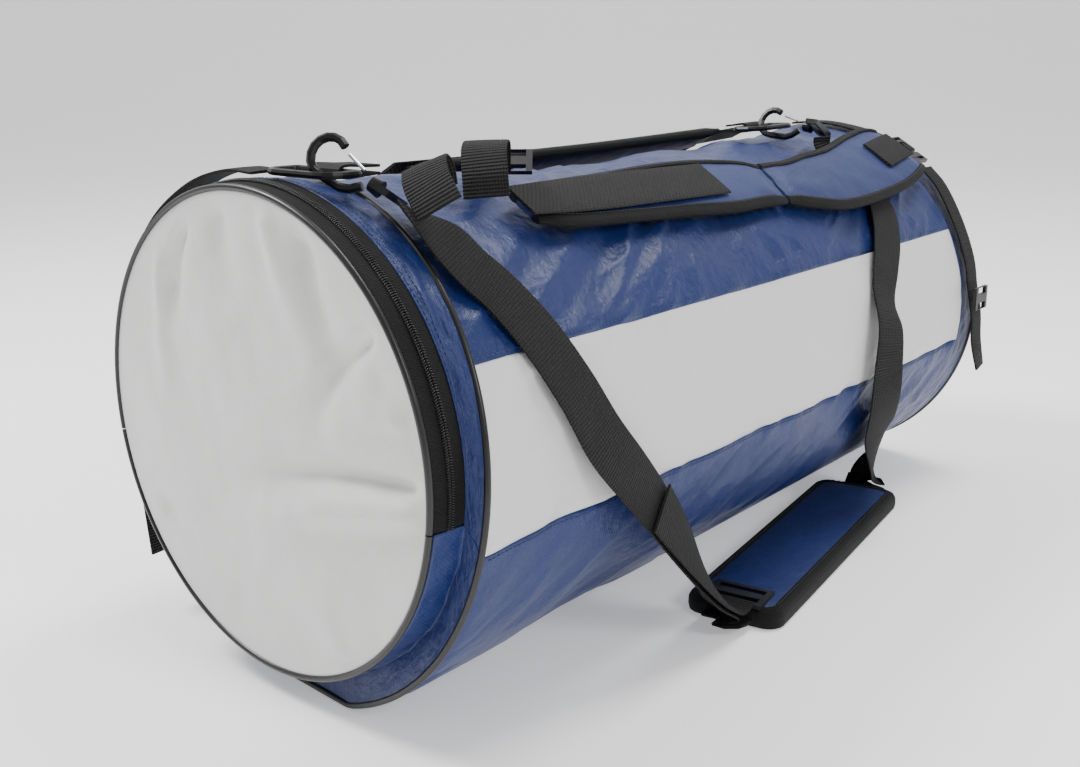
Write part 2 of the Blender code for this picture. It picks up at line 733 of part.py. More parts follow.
def build_backpack_straps():
    """Two padded carrying straps on top, the webbing on them and the near one's wide rear end."""
    lift = 0.0072 + PAD_THICK / 2
    on_top = lift + PAD_THICK / 2 + WEB_THICK / 2 + 0.0012
    near_front = [
        (-0.222, 58, 0.030),
        (-0.190, 58, 0.044),
        (-0.120, 58, 0.052),
        (-0.050, 58, 0.060),
        (0.000, 57, 0.062),
        (0.040, 56, 0.056),
        (0.074, 54, 0.048),
    ]
    near_rear = [
        (0.0785, 54, 0.048),
        (0.110, 52, 0.054),
        (0.150, 51, 0.066),
        (0.200, 51.5, 0.070),
        (0.260, 54, 0.078),
        (0.300, 56, 0.076),
        (0.328, 57, 0.066),
    ]
    far = [
        (-0.160, 119, 0.036),
        (-0.120, 119, 0.048),
        (-0.040, 119, 0.058),
        (0.060, 119, 0.060),
        (0.140, 118, 0.056),
        (0.200, 117, 0.050),
        (0.262, 116, 0.040),
    ]
    near_web = [(-0.230, 58, 0.030), (-0.17, 58, 0.036), (-0.08, 58, 0.038), (-0.002, 57.5, 0.038)]
    far_web = [(-0.170, 119, 0.030), (-0.10, 119, 0.036), (-0.03, 119, 0.038), (0.050, 119, 0.038)]
    for side, padded, web, root in (
        ("near", near_front, near_web, (0.076, 54)),
        ("far", far, far_web, (0.262, 116)),
    ):
        rows = [on_barrel(x, angle, lift, width) for x, angle, width in padded]
        strap = ribbon(f"backpack_strap_{side}", rows, PAD_THICK, FINISH["blue_fabric"], 2, 0.4)
        rows = [on_barrel(x, angle, on_top, width) for x, angle, width in web]
        webbing = ribbon(f"backpack_webbing_{side}", rows, WEB_THICK, FINISH["webbing"], 3)
        axis = empty_at(f"backpack_strap_{side}_axis", barrel(*root, lift))
        hang_on(strap, axis)
        hang_on(webbing, axis)
    rows = [on_barrel(x, angle, lift, width) for x, angle, width in near_rear]
    ribbon("backpack_strap_near_rear", rows, PAD_THICK, FINISH["blue_fabric"], 2, 0.4)
    rows = [on_barrel(x, a, on_top, 0.034) for x, a in ((0.262, 54.5), (0.295, 56), (0.322, 57))]
    ribbon("near_rear_anchor_webbing", rows, WEB_THICK, FINISH["webbing"], 2)
    rows = [on_barrel(x, 116, lift, 0.034) for x in (0.266, 0.300, 0.335)]
    ribbon("far_rear_anchor_webbing", rows, WEB_THICK, FINISH["webbing"], 2)


def webbing_loop(name, points, width):
    """A standing loop of webbing whose face looks away from the loop's middle."""
    middle = sum((Vector(point) for point in points), Vector()) / len(points)
    rows = []
    for point in points:
        face = (Vector(point) - middle).normalized()
        rows.append((*point, width, *face))
    return ribbon(name, rows, WEB_THICK, FINISH["webbing"], steps=3)


def build_loops():
    """The carrying loops that stand up between the two carrying straps' front ends."""
    webbing_loop(
        "front_strap_loop",
        [
            (-0.3210, -0.1225, 0.3375),
            (-0.3205, -0.1165, 0.3450),
            (-0.3160, -0.1060, 0.3540),
            (-0.3060, -0.0950, 0.3610),
            (-0.2930, -0.0870, 0.3560),
            (-0.2880, -0.0840, 0.3450),
        ],
        LOOP_WEBBING,
    )
    webbing_loop(
        "carry_loop",
        [
            (-0.2520, -0.0950, 0.3350),
            (-0.2490, -0.0910, 0.3520),
            (-0.2410, -0.0830, 0.3640),
            (-0.2270, -0.0720, 0.3680),
            (-0.2130, -0.0610, 0.3640),
            (-0.2070, -0.0550, 0.3530),
            (-0.2050, -0.0530, 0.3440),
        ],
        LOOP_WEBBING,
    )
    lock = frame_matrix((-0.1850, -0.0500, 0.3500), (0.60, 0.50, 0.62), (0.658, -0.753, 0.0))
    ladder_lock("carry_loop_ladder_lock", lock, 0.038, 0.022)


def build_hanging_straps():
    """The webbing that hangs down the far side in front, and the one round the rear rim."""
    front = [
        (-0.3420, 0.0150, 0.3535, 0.025, 0.0, 0.05, 1.0),
        (-0.3430, 0.0450, 0.3535, 0.025, 0.0, 0.25, 0.97),
        (-0.3450, 0.0850, 0.3420, 0.025, 0.0, 0.50, 0.86),
        (-0.3480, 0.1260, 0.3160, 0.025, 0.0, 0.72, 0.70),
        (-0.3480, 0.1580, 0.2800, 0.024, 0.0, 0.88, 0.48),
        (-0.3475, 0.1770, 0.2360, 0.024, 0.0, 0.97, 0.25),
        (-0.3468, 0.1845, 0.1900, 0.024, 0.0, 1.0, 0.05),
        (-0.3468, 0.1855, 0.1400, 0.024, 0.0, 1.0, 0.0),
        (-0.3450, 0.1850, 0.0900, 0.024, 0.0, 1.0, 0.0),
        (-0.3430, 0.1840, 0.0450, 0.024, 0.0, 1.0, 0.0),
    ]
    ribbon("front_hanging_strap", front, WEB_THICK, FINISH["webbing"], steps=3)

    def round_rim(angle, lift):
        turn = math.radians(angle)
        radius = REAR_RADIUS - 0.001 + lift
        out = (0.0, -math.cos(turn), math.sin(turn))
        place = (RIM_STRAP_X, radius * out[1], REAR_CENTRE_Z + radius * out[2])
        return (*place, RIM_STRAP, *out)

    upper = [round_rim(angle, 0.004) for angle in (98, 88, 76)] + [round_rim(66, 0.0060)]
    ribbon("rear_rim_strap", upper, WEB_THICK, FINISH["webbing"], steps=3)
    hinge_angle = 59.0
    turn = math.radians(hinge_angle)
    spot = Vector(round_rim(hinge_angle, 0.0078)[0:3])
    place = frame_matrix(spot, (0.0, -math.sin(turn), -math.cos(turn)), (1.0, 0.0, 0.0))
    side_release_buckle("rear_rim", place, 0.62)
    lower = [round_rim(angle, 0.0095) for angle in (48, 40)]
    lower += [round_rim(angle, 0.0070) for angle in (28, 16, 6)]
    lower += [
        (RIM_STRAP_X + 0.003, -0.1820, 0.1620, RIM_STRAP, 0.0, -1.0, -0.02),
        (RIM_STRAP_X + 0.006, -0.1830, 0.1350, RIM_STRAP, 0.0, -1.0, 0.02),
        (RIM_STRAP_X + 0.010, -0.1870, 0.1080, RIM_STRAP, 0.1, -1.0, 0.10),
    ]
    ribbon("rear_hanging_strap", lower, WEB_THICK, FINISH["webbing"], steps=3)
    lock = frame_matrix((RIM_STRAP_X, -0.1862, 0.180), (0.0, 0.0, -1.0), (1.0, 0.0, 0.0))
    ladder_lock("rear_ladder_lock", lock, 0.026, 0.022)


clear_scene()
PARTS = bpy.data.collections.new("duffel_bag")
CUTTERS = bpy.data.collections.new("cutters")
bpy.context.scene.collection.children.link(PARTS)
bpy.context.scene.collection.children.link(CUTTERS)
FINISH = {
    "blue_fabric": material("blue_fabric", BLUE, 0.62),
    "white_fabric": material("white_fabric", WHITE, 0.55),
    "webbing": material("webbing", BLACK_WEB, 0.8),
    "piping": material("piping", BLACK_WEB, 0.5),
    "zip_tape": material("zip_tape", BLACK_WEB, 0.8),
    "zip_coil": material("zip_coil", BLACK_PLASTIC, 0.4),
    "zip_metal": material("zip_metal", BLACK_PLASTIC, 0.35, 0.6),
    "hook_metal": material("hook_metal", BLACK_PLASTIC, 0.35, 0.5),
    "steel": material("steel", STEEL, 0.25, 1.0),
    "plastic": material("plastic", BLACK_PLASTIC, 0.45),
}
flap_axis = empty_at("end_flap_axis", (FLAP_AXIS_X, 0.0, FLAP_AXIS_Z))
slide_axis = empty_at("zip_slide_axis", (FRONT_X, 0.0, END_CENTRE_Z))
build_barrel()
build_gusset()
build_zipped_end(flap_axis)
build_zip(flap_axis, slide_axis)
build_shoulder_strap()
build_backpack_straps()
build_loops()
build_hanging_straps()
front_ring = frame_matrix((-0.3265, -0.0290, 0.3550), (-1, 0, 0.03), (0, 1, 0))
rear_ring = frame_matrix((0.2200, -0.0005, 0.3470), (0, -1, 0.04), (1, 0, 0))
front_hook = frame_matrix((-0.3277, -0.0825, 0.3452), (-0.28, 0.83, 0.48), (0.52, -0.36, 0.78))
rear_hook = frame_matrix((0.2243, -0.0659, 0.3485), (-0.08, 0.99, 0.08), (0.40, 0.0, 0.92))
ring_with_keeper("front", front_ring, FINISH["hook_metal"], 0.030)
ring_with_keeper("rear", rear_ring, FINISH["hook_metal"], 0.020)
snap_hook("front", front_hook)
snap_hook("rear", rear_hook)
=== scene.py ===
"""Looks of the barrel sports duffel bag: cloth panels, webbing, padded straps, zip and hardware.

Metres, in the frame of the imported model: +X along the barrel from the zipped end, -Y towards the
shoulder strap, +Z up. Angles round the barrel start at the middle of the -Y side and pass over
the top.
"""

import math

import bmesh
import bpy
import numpy as np
from mathutils import Matrix, Vector, noise


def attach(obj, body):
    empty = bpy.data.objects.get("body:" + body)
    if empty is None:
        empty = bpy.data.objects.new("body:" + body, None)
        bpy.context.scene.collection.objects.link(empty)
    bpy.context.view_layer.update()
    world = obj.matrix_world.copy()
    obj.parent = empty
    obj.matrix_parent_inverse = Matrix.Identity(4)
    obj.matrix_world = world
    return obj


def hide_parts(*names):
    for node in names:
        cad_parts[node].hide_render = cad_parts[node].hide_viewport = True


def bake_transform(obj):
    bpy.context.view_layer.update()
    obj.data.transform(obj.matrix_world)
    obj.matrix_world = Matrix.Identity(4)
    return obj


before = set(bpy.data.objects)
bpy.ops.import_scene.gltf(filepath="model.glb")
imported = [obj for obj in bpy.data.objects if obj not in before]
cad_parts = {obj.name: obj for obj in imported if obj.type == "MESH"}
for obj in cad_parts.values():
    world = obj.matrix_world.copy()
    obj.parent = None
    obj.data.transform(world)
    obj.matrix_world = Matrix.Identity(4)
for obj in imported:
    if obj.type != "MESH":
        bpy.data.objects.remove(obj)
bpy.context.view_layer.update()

# The barrel, as the frame has it
RADIUS = 0.178
HALF_HEIGHT = 0.177
CENTRE_Z = 0.170
REAR_RADIUS = 0.173
REAR_HALF_HEIGHT = 0.172
REAR_CENTRE_Z = 0.1685
FRONT_X = -0.378
LENGTH = 0.744
REAR_X = FRONT_X + LENGTH
TOP_SAG = 0.014
REAR_GUSSET = 0.030
STRIPE_TOP = 27.0
STRIPE_BOTTOM = -10.0
END_RADIUS = 0.164
END_CENTRE_Z = 0.184
PIPING = 0.0023
ZIP_END_ANGLE = 9.0
ZIP_START = 0.0028
ZIP_WIDTH = 0.0232
ZIP_OUTER_RADIUS = 0.1668
GUSSET_DEPTH = 0.041
SEAM_LEAN_Z = 0.117
SEAM_LEAN_Y = 0.05
WEBBING = 0.038
WEB_THICK = 0.0018
WEBBING_STEPS = 10
WEBBING_CROWN = 0.0002
WEBBING_EDGE = 0.55
RIM_STRAP = 0.022
STRAP_LIFT = 0.0122
STRAP_THICK = 0.0105
STRAP_WEB_LIFT = STRAP_LIFT + 0.0071
BINDING_WIDTH = 0.0065

# Cloth
CLOTH = 0.0012
FOLD_DEPTH = 0.0075
FLOOR_CLEAR = 0.0003
MOST_LIFT = 0.0022
SEAM_CREASE = 0.0012
TEETH_PITCH = 0.0016

BLUE = (0.0010, 0.0095, 0.0750)
BLUE_LIGHT = (0.0030, 0.0250, 0.1500)
WHITE = (0.74, 0.74, 0.73)
BLACK = (0.0025, 0.0025, 0.0028)
BLACK_LIGHT = (0.0130, 0.0125, 0.0120)
STEEL = (0.70, 0.70, 0.71)


# ---- Materials ---------------------------------------------------------------------------------


class Nodes:
    """Short ways to add nodes to a material."""

    def __init__(self, name):
        self.made = bpy.data.materials.new(name)
        self.made.use_nodes = True
        self.tree = self.made.node_tree
        self.shader = self.tree.nodes["Principled BSDF"]

    def add(self, kind, **values):
        node = self.tree.nodes.new(kind)
        for key, value in values.items():
            setattr(node, key, value)
        return node

    def link(self, source, target):
        self.tree.links.new(source, target)

    def mapped(self, output, scale, turn=0.0):
        place = self.add("ShaderNodeTexCoord")
        shift = self.add("ShaderNodeMapping")
        shift.inputs["Scale"].default_value = scale
        shift.inputs["Rotation"].default_value = (0.0, 0.0, math.radians(turn))
        self.link(place.outputs[output], shift.inputs["Vector"])
        return shift.outputs["Vector"]

    def wave(self, vector, scale, direction="X", distortion=0.0):
        made = self.add("ShaderNodeTexWave", bands_direction=direction, wave_profile="SIN")
        made.inputs["Scale"].default_value = scale
        made.inputs["Distortion"].default_value = distortion
        made.inputs["Detail"].default_value = 1.0
        self.link(vector, made.inputs["Vector"])
        return made.outputs["Fac"]

    def noise(self, vector, scale, detail=4.0, roughness=0.55):
        made = self.add("ShaderNodeTexNoise")
        made.inputs["Scale"].default_value = scale
        made.inputs["Detail"].default_value = detail
        made.inputs["Roughness"].default_value = roughness
        self.link(vector, made.inputs["Vector"])
        return made.outputs["Fac"]

    def math(self, operation, first, second):
        made = self.add("ShaderNodeMath", operation=operation)
        for socket, value in zip(made.inputs, (first, second)):
            if isinstance(value, (int, float)):
                socket.default_value = value
            else:
                self.link(value, socket)
        return made.outputs[0]

    def ramp(self, factor, low, high, start=0.0, end=1.0):
        made = self.add("ShaderNodeValToRGB")
        made.color_ramp.elements[0].position = start
        made.color_ramp.elements[1].position = end
        made.color_ramp.elements[0].color = (*low, 1.0)
        made.color_ramp.elements[1].color = (*high, 1.0)
        self.link(factor, made.inputs["Fac"])
        return made.outputs["Color"]

    def bump(self, height, strength, distance, below=None):
        made = self.add("ShaderNodeBump")
        made.inputs["Strength"].default_value = strength
        made.inputs["Distance"].default_value = distance
        self.link(height, made.inputs["Height"])
        if below:
            self.link(below, made.inputs["Normal"])
        return made.outputs["Normal"]

    def set(self, **values):
        for key, value in values.items():
            self.shader.inputs[key.replace("_", " ")].default_value = value

    def surface(self, colour=None, normal=None, roughness=None):
        if colour:
            self.link(colour, self.shader.inputs["Base Color"])
        if normal:
            self.link(normal, self.shader.inputs["Normal"])
        if roughness:
            self.link(roughness, self.shader.inputs["Roughness"])


def pitch_scale(metres):
    """Scale of a wave texture for a pitch: at scale 1 it repeats every 0.3142 of its vector."""
    return 0.3142 / metres


def woven(name, dark, light, pitch, twill, roughness, crumple, sheen):
    """Cloth whose UVs are metres: a weave, fine crumples, and a slow change of shade."""
    made = Nodes(name)
    uv = made.mapped("UV", (1.0, 1.0, 1.0))
    turned = made.mapped("UV", (1.0, 1.0, 1.0), twill)
    warp = made.wave(turned, pitch_scale(pitch))
    weft = made.wave(turned, pitch_scale(pitch * (1.7 if twill else 1.0)), "Y")
    weave = made.math("MULTIPLY", warp, weft)
    crumples = made.noise(uv, 46.0, 5.0, 0.6)
    slow = made.noise(uv, 7.0, 3.0)
    threads = made.noise(made.mapped("UV", (220.0, 1400.0, 1.0)), 1.0, 2.0)
    shade = made.math("ADD", made.math("MULTIPLY", weave, 0.35), made.math("MULTIPLY", slow, 0.5))
    shade = made.math("ADD", shade, made.math("MULTIPLY", threads, 0.25))
    fine = made.bump(weave, 0.35, 0.00025)
    normal = made.bump(crumples, crumple, 0.004, fine)
    rough = made.math("ADD", made.math("MULTIPLY", slow, 0.16), roughness - 0.08)
    made.surface(made.ramp(shade, dark, light, 0.15, 0.95), normal, rough)
    made.set(Sheen_Weight=sheen, Sheen_Roughness=0.4, Specular_IOR_Level=0.45)
    return made.made


def ribbed(name, dark, light, rib, diamonds=False):
    """Webbing: ribs across its length, or a diamond weave."""
    made = Nodes(name)
    uv = made.mapped("UV", (1.0, 1.0, 1.0))
    if diamonds:
        one = made.wave(made.mapped("UV", (1.0, 1.0, 1.0), 45), pitch_scale(rib))
        other = made.wave(made.mapped("UV", (1.0, 1.0, 1.0), -45), pitch_scale(rib))
        height = made.math("MAXIMUM", one, other)
    else:
        across = made.wave(uv, pitch_scale(rib), "X", 0.6)
        along = made.wave(uv, pitch_scale(rib * 0.8), "Y")
        height = made.math("ADD", across, made.math("MULTIPLY", along, 0.45))
    fuzz = made.noise(uv, 900.0, 3.0)
    wear = made.noise(uv, 30.0, 4.0)
    shade = made.math("MULTIPLY", height, made.math("ADD", wear, 0.15))
    normal = made.bump(height, 0.9, 0.0009, made.bump(fuzz, 0.3, 0.0003))
    made.surface(made.ramp(shade, dark, light, 0.1, 1.2 if diamonds else 1.0), normal)
    made.set(Roughness=0.72, Specular_IOR_Level=0.3)
    return made.made


def moulded(name, colour, roughness, metallic, grain):
    """Plastic, enamel or wire with a fine grain and small changes of gloss."""
    made = Nodes(name)
    place = made.mapped("Object", (1.0, 1.0, 1.0))
    fine = made.noise(place, grain, 3.0)
    slow = made.noise(place, 60.0, 4.0)
    lighter = tuple(min(1.0, part * 1.8 + 0.004) for part in colour)
    rough = made.math("ADD", made.math("MULTIPLY", slow, 0.25), roughness - 0.12)
    made.surface(made.ramp(slow, colour, lighter, 0.35, 0.8), made.bump(fine, 0.12, 0.0004), rough)
    made.set(Metallic=metallic)
    return made.made


def thread_material(name, colour):
    """Twisted sewing thread."""
    made = Nodes(name)
    place = made.mapped("Object", (1.0, 1.0, 1.0))
    twist = made.noise(place, 2500.0, 2.0)
    lighter = tuple(min(1.0, part * 1.5 + 0.02) for part in colour)
    made.surface(made.ramp(twist, colour, lighter, 0.3, 0.8), made.bump(twist, 0.4, 0.0002))
    made.set(Roughness=0.6)
    return made.made


FINISH = {
    "blue": woven("blue_twill", BLUE, BLUE_LIGHT, 0.0011, 35, 0.42, 0.75, 0.05),
    "pad_blue": woven("pad_twill", BLUE, BLUE_LIGHT, 0.0011, 35, 0.50, 0.45, 0.05),
    "white": woven("white_weave", (0.62, 0.62, 0.61), WHITE, 0.0014, 0, 0.50, 0.30, 0.0),
    "stripe": woven("white_satin", (0.66, 0.66, 0.66), WHITE, 0.0008, 0, 0.42, 0.28, 0.0),
    "webbing": ribbed("ribbed_webbing", BLACK, BLACK_LIGHT, 0.0024),
    "diamond": ribbed("diamond_webbing", BLACK, BLACK_LIGHT, 0.0030, True),
    "binding": ribbed("bound_edge", (0.0025, 0.0025, 0.0028), (0.010, 0.010, 0.010), 0.0014),
    "piping": moulded("piping", (0.003, 0.003, 0.0032), 0.38, 0.0, 900.0),
    "tape": ribbed("zip_tape", (0.0022, 0.0022, 0.0024), (0.0080, 0.0080, 0.0080), 0.0010),
    "coil": moulded("zip_coil", (0.005, 0.005, 0.0055), 0.34, 0.0, 500.0),
    "enamel": moulded("black_enamel", (0.005, 0.005, 0.0055), 0.30, 0.35, 700.0),
    "plastic": moulded("black_plastic", (0.005, 0.005, 0.0055), 0.46, 0.0, 1200.0),
    "steel": moulded("bright_wire", STEEL, 0.24, 1.0, 800.0),
    "blue_thread": thread_material("blue_thread", (0.010, 0.026, 0.085)),
    "black_thread": thread_material("black_thread", (0.020, 0.020, 0.020)),
    "white_thread": thread_material("white_thread", (0.55, 0.55, 0.54)),
}


# ---- Surfaces ----------------------------------------------------------------------------------


def smooth_step(low, high, value):
    share = min(max((value - low) / (high - low), 0.0), 1.0)
    return share * share * (3.0 - 2.0 * share)


def oval(angle, half_width, half_height, centre_z, x):
    turn = math.radians(angle)
    return Vector((x, -half_width * math.cos(turn), max(centre_z + half_height * math.sin(turn), 0.0)))


def outward(angle):
    turn = math.radians(angle)
    return Vector((0.0, -math.cos(turn), math.sin(turn)))


def seam_point(angle, offset=0.0):
    point = oval(angle, RADIUS, HALF_HEIGHT, CENTRE_Z, 0.0)
    lean = SEAM_LEAN_Z * (point.z - CENTRE_Z) + SEAM_LEAN_Y * point.y
    point.x = FRONT_X + GUSSET_DEPTH + lean + offset
    return point


def rear_point(angle, offset=0.0):
    return oval(angle, REAR_RADIUS, REAR_HALF_HEIGHT, REAR_CENTRE_Z, REAR_X + offset)


def end_ring(angle, depth, radius):
    out = outward(angle)
    return Vector((FRONT_X + depth, radius * out.y, END_CENTRE_Z + radius * out.z))


def zip_ring(angle, depth, lift=0.0):
    share = (depth - ZIP_START) / ZIP_WIDTH
    radius = END_RADIUS + 0.0005 + (ZIP_OUTER_RADIUS - END_RADIUS - 0.0005) * share
    return end_ring(angle, depth, radius + lift)


def sagged(point):
    share = min(max((point.x - FRONT_X - GUSSET_DEPTH) / (LENGTH - GUSSET_DEPTH), 0.0), 1.0)
    height = max((point.z - CENTRE_Z) / HALF_HEIGHT, 0.0)
    point.z -= TOP_SAG * math.sin(math.pi * share) * height**3
    return point


def barrel(x, angle, lift=0.0):
    front = oval(angle, RADIUS, HALF_HEIGHT, CENTRE_Z, x)
    rear = oval(angle, REAR_RADIUS, REAR_HALF_HEIGHT, REAR_CENTRE_Z, x)
    point = sagged(front.lerp(rear, (x - FRONT_X) / LENGTH))
    return point + outward(angle) * lift


def ridge(point):
    """Folds of cloth: narrow crests between smooth valleys, 1 at a crest."""
    return 1.0 - abs(noise.noise(point)) * 2.0


def cloth_folds(along, round_it, seed, diagonal):
    """Height of the wrinkles at a place on a flat pattern, in metres of it, from about -1 to 1."""
    turn = math.radians(diagonal)
    u = along * math.cos(turn) + round_it * math.sin(turn)
    v = -along * math.sin(turn) + round_it * math.cos(turn)
    bend = noise.noise(Vector((u * 5.0, v * 5.0, seed))) * 0.05
    long_folds = ridge(Vector((u * 6.0, (v + bend) * 24.0, seed + 3.0)))
    short_folds = ridge(Vector((u * 17.0 + bend * 40.0, v * 40.0, seed + 9.0)))
    broad = noise.noise(Vector((along * 8.0, round_it * 8.0, seed + 17.0)))
    return 0.50 * long_folds + 0.22 * short_folds + 0.6 * broad - 0.35


# ---- Mesh helpers ------------------------------------------------------------------------------


def link(made, finish):
    """Puts a mesh object in the scene, smooth and with its finish."""
    bpy.context.scene.collection.objects.link(made)
    made.data.materials.append(finish)
    made.data.shade_smooth()
    return made


def thicken(made, thick):
    solid = made.modifiers.new("Cloth thickness", "SOLIDIFY")
    solid.thickness = thick
    solid.offset = 0.0


def flat_uv(mesh, first, second):
    """UVs in metres, straight from two axes of the points."""
    uv = mesh.uv_layers["UVMap"]
    for loop in mesh.loops:
        point = mesh.vertices[loop.vertex_index].co
        uv.data[loop.index].uv = (point[first], point[second])


def grid(name, columns, rows, point_at, finish, closed=False, flat_size=None, thick=0.0):
    """A sheet from a function of two shares; its UVs are metres on the flat cloth."""
    across = columns if closed else columns + 1
    points = [
        point_at(column / columns, row / rows) for row in range(rows + 1) for column in range(across)
    ]
    faces = []
    for row in range(rows):
        for column in range(columns):
            right = (column + 1) % across
            faces.append(
                (
                    row * across + column,
                    row * across + right,
                    (row + 1) * across + right,
                    (row + 1) * across + column,
                )
            )
    mesh = bpy.data.meshes.new(name)
    mesh.from_pydata(points, [], faces)
    uv = mesh.uv_layers.new(name="UVMap")
    width, height = flat_size
    corner = 0
    for row in range(rows):
        for column in range(columns):
            for a, b in ((0, 0), (1, 0), (1, 1), (0, 1)):
                place = ((column + a) / columns * width, (row + b) / rows * height)
                uv.data[corner].uv = place
                corner += 1
    made = link(bpy.data.objects.new(name, mesh), finish)
    if thick:
        thicken(made, thick)
    return made


def smooth_path(knots, steps):
    rows = np.array(knots, dtype=float)
    padded = np.vstack([2 * rows[0] - rows[1], rows, 2 * rows[-1] - rows[-2]])
    found = []
    for index in range(1, len(padded) - 2):
        before, start, end, after = padded[index - 1 : index + 3]
        for step in range(steps):
            t = step / steps
            cubic = (3 * start - before - 3 * end + after) * t**3
            square = (2 * before - 5 * start + 4 * end - after) * t * t
            found.append(0.5 * (2 * start + (end - before) * t + square + cubic))
    found.append(padded[-2])
    return np.array(found)


def band_frames(rows, steps):
    """Middle, side, face, width and distance along for each step of a band."""
    path = smooth_path(rows, steps)
    found = []
    distance = 0.0
    for index, row in enumerate(path):
        middle = Vector(row[0:3])
        ahead = Vector(path[min(index + 1, len(path) - 1)][0:3])
        behind = Vector(path[max(index - 1, 0)][0:3])
        along = (ahead - behind).normalized()
        face = Vector(row[4:7])
        face = (face - along * face.dot(along)).normalized()
        if index:
            distance += (middle - Vector(path[index - 1][0:3])).length
        found.append((middle, along.cross(face), face, row[3], distance))
    return found


def loft(name, rings, distances, finish):
    """A closed skin through rings of equal length, with capped ends and UVs in metres."""
    count = len(rings[0])
    points = [point for ring in rings for point in ring]
    faces = []
    uvs = []
    girth = [0.0]
    for index in range(count):
        step = (rings[0][(index + 1) % count] - rings[0][index]).length
        girth.append(girth[-1] + step)
    for row in range(len(rings) - 1):
        for index in range(count):
            after = (index + 1) % count
            low, high = row * count, (row + 1) * count
            faces.append((low + index, low + after, high + after, high + index))
            near, far = distances[row], distances[row + 1]
            left, right = girth[index], girth[index + 1]
            uvs += [(near, left), (near, right), (far, right), (far, left)]
    faces.append(tuple(range(count))[::-1])
    uvs += [(distances[0], girth[i]) for i in range(count)][::-1]
    last = (len(rings) - 1) * count
    faces.append(tuple(range(last, last + count)))
    uvs += [(distances[-1], girth[i]) for i in range(count)]
    mesh = bpy.data.meshes.new(name)
    mesh.from_pydata(points, [], faces)
    uv = mesh.uv_layers.new(name="UVMap")
    for corner, place in zip(uv.data, uvs):
        corner.uv = place
    made = link(bpy.data.objects.new(name, mesh), finish)
    mesh.set_sharp_from_angle(angle=math.radians(50))
    return made


def webbing(name, rows, finish="webbing"):
    """A woven band with thinner edges and a slight crown, along rows of middle, width and face."""
    rings = []
    distances = []
    shares = (-1.0, -0.94, -0.5, 0.0, 0.5, 0.94, 1.0)
    for middle, side, face, width, distance in band_frames(rows, WEBBING_STEPS):
        half = width / 2
        ring = []
        for share in shares:
            edge = WEBBING_EDGE if abs(share) == 1.0 else 1.0
            height = WEB_THICK / 2 * edge + WEBBING_CROWN * (1 - share * share)
            ring.append(middle + side * (half * share) + face * height)
        for share in shares[::-1]:
            edge = WEBBING_EDGE if abs(share) == 1.0 else 1.0
            ring.append(middle + side * (half * share) - face * (WEB_THICK / 2 * edge))
        rings.append(ring)
        distances.append(distance)
    return loft(name, rings, distances, FINISH[finish])


def tube(name, points, radius, finish, closed=False, resolution=3):
    curve = bpy.data.curves.new(name, "CURVE")
    curve.dimensions = "3D"
    curve.bevel_depth = radius
    curve.bevel_resolution = resolution
    curve.use_fill_caps = not closed
    spline = curve.splines.new("POLY")
    spline.points.add(len(points) - 1)
    for spot, point in zip(spline.points, points):
        spot.co = (*point, 1.0)
    spline.use_cyclic_u = closed
    made = bpy.data.objects.new(name, curve)
    bpy.context.scene.collection.objects.link(made)
    curve.materials.append(finish)
    return made


def stitches(name, path, face_at, finish, length=0.0028, gap=0.0012, lift=0.0003, size=0.00035):
    """A run of raised stitches along a path of points; face_at gives the way out at each."""
    path = [Vector(point) for point in path]
    lengths = [0.0]
    for first, second in zip(path, path[1:]):
        lengths.append(lengths[-1] + (second - first).length)
    total = lengths[-1]
    bm = bmesh.new()
    distance = gap
    spot = 0
    while distance + length < total:
        ends = []
        for place in (distance, distance + length):
            while lengths[min(spot + 1, len(lengths) - 1)] < place and spot < len(path) - 2:
                spot += 1
            span = max(lengths[spot + 1] - lengths[spot], 1e-9)
            share = (place - lengths[spot]) / span
            ends.append((path[spot].lerp(path[spot + 1], share), face_at(spot)))
        (start, out), (end, _) = ends
        along = (end - start).normalized()
        side = along.cross(out).normalized()
        middle = (start + end) / 2 + out * lift
        profile = ((-0.5, 0.0), (-0.3, 1.0), (0.3, 1.0), (0.5, 0.0))
        rings = []
        for share, swell in profile:
            base = middle + along * (length * share)
            reach = size * (0.35 + 0.65 * swell)
            rings.append(
                [
                    bm.verts.new(base + side * (reach * a) + out * (reach * b))
                    for a, b in ((1, 0), (0.6, 0.8), (-0.6, 0.8), (-1, 0), (0, -0.6))
                ]
            )
        for first, second in zip(rings, rings[1:]):
            for index in range(5):
                after = (index + 1) % 5
                bm.faces.new((first[index], first[after], second[after], second[index]))
        bm.faces.new(rings[0][::-1])
        bm.faces.new(rings[-1])
        distance += length + gap
    mesh = bpy.data.meshes.new(name)
    bm.to_mesh(mesh)
    bm.free()
    return link(bpy.data.objects.new(name, mesh), finish)


def place_piece(piece, body, slot, *nodes):
    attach(piece, body)
    if nodes:
        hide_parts(*nodes)
    return piece


# ---- Cloth of the barrel -----------------------------------------------------------------------


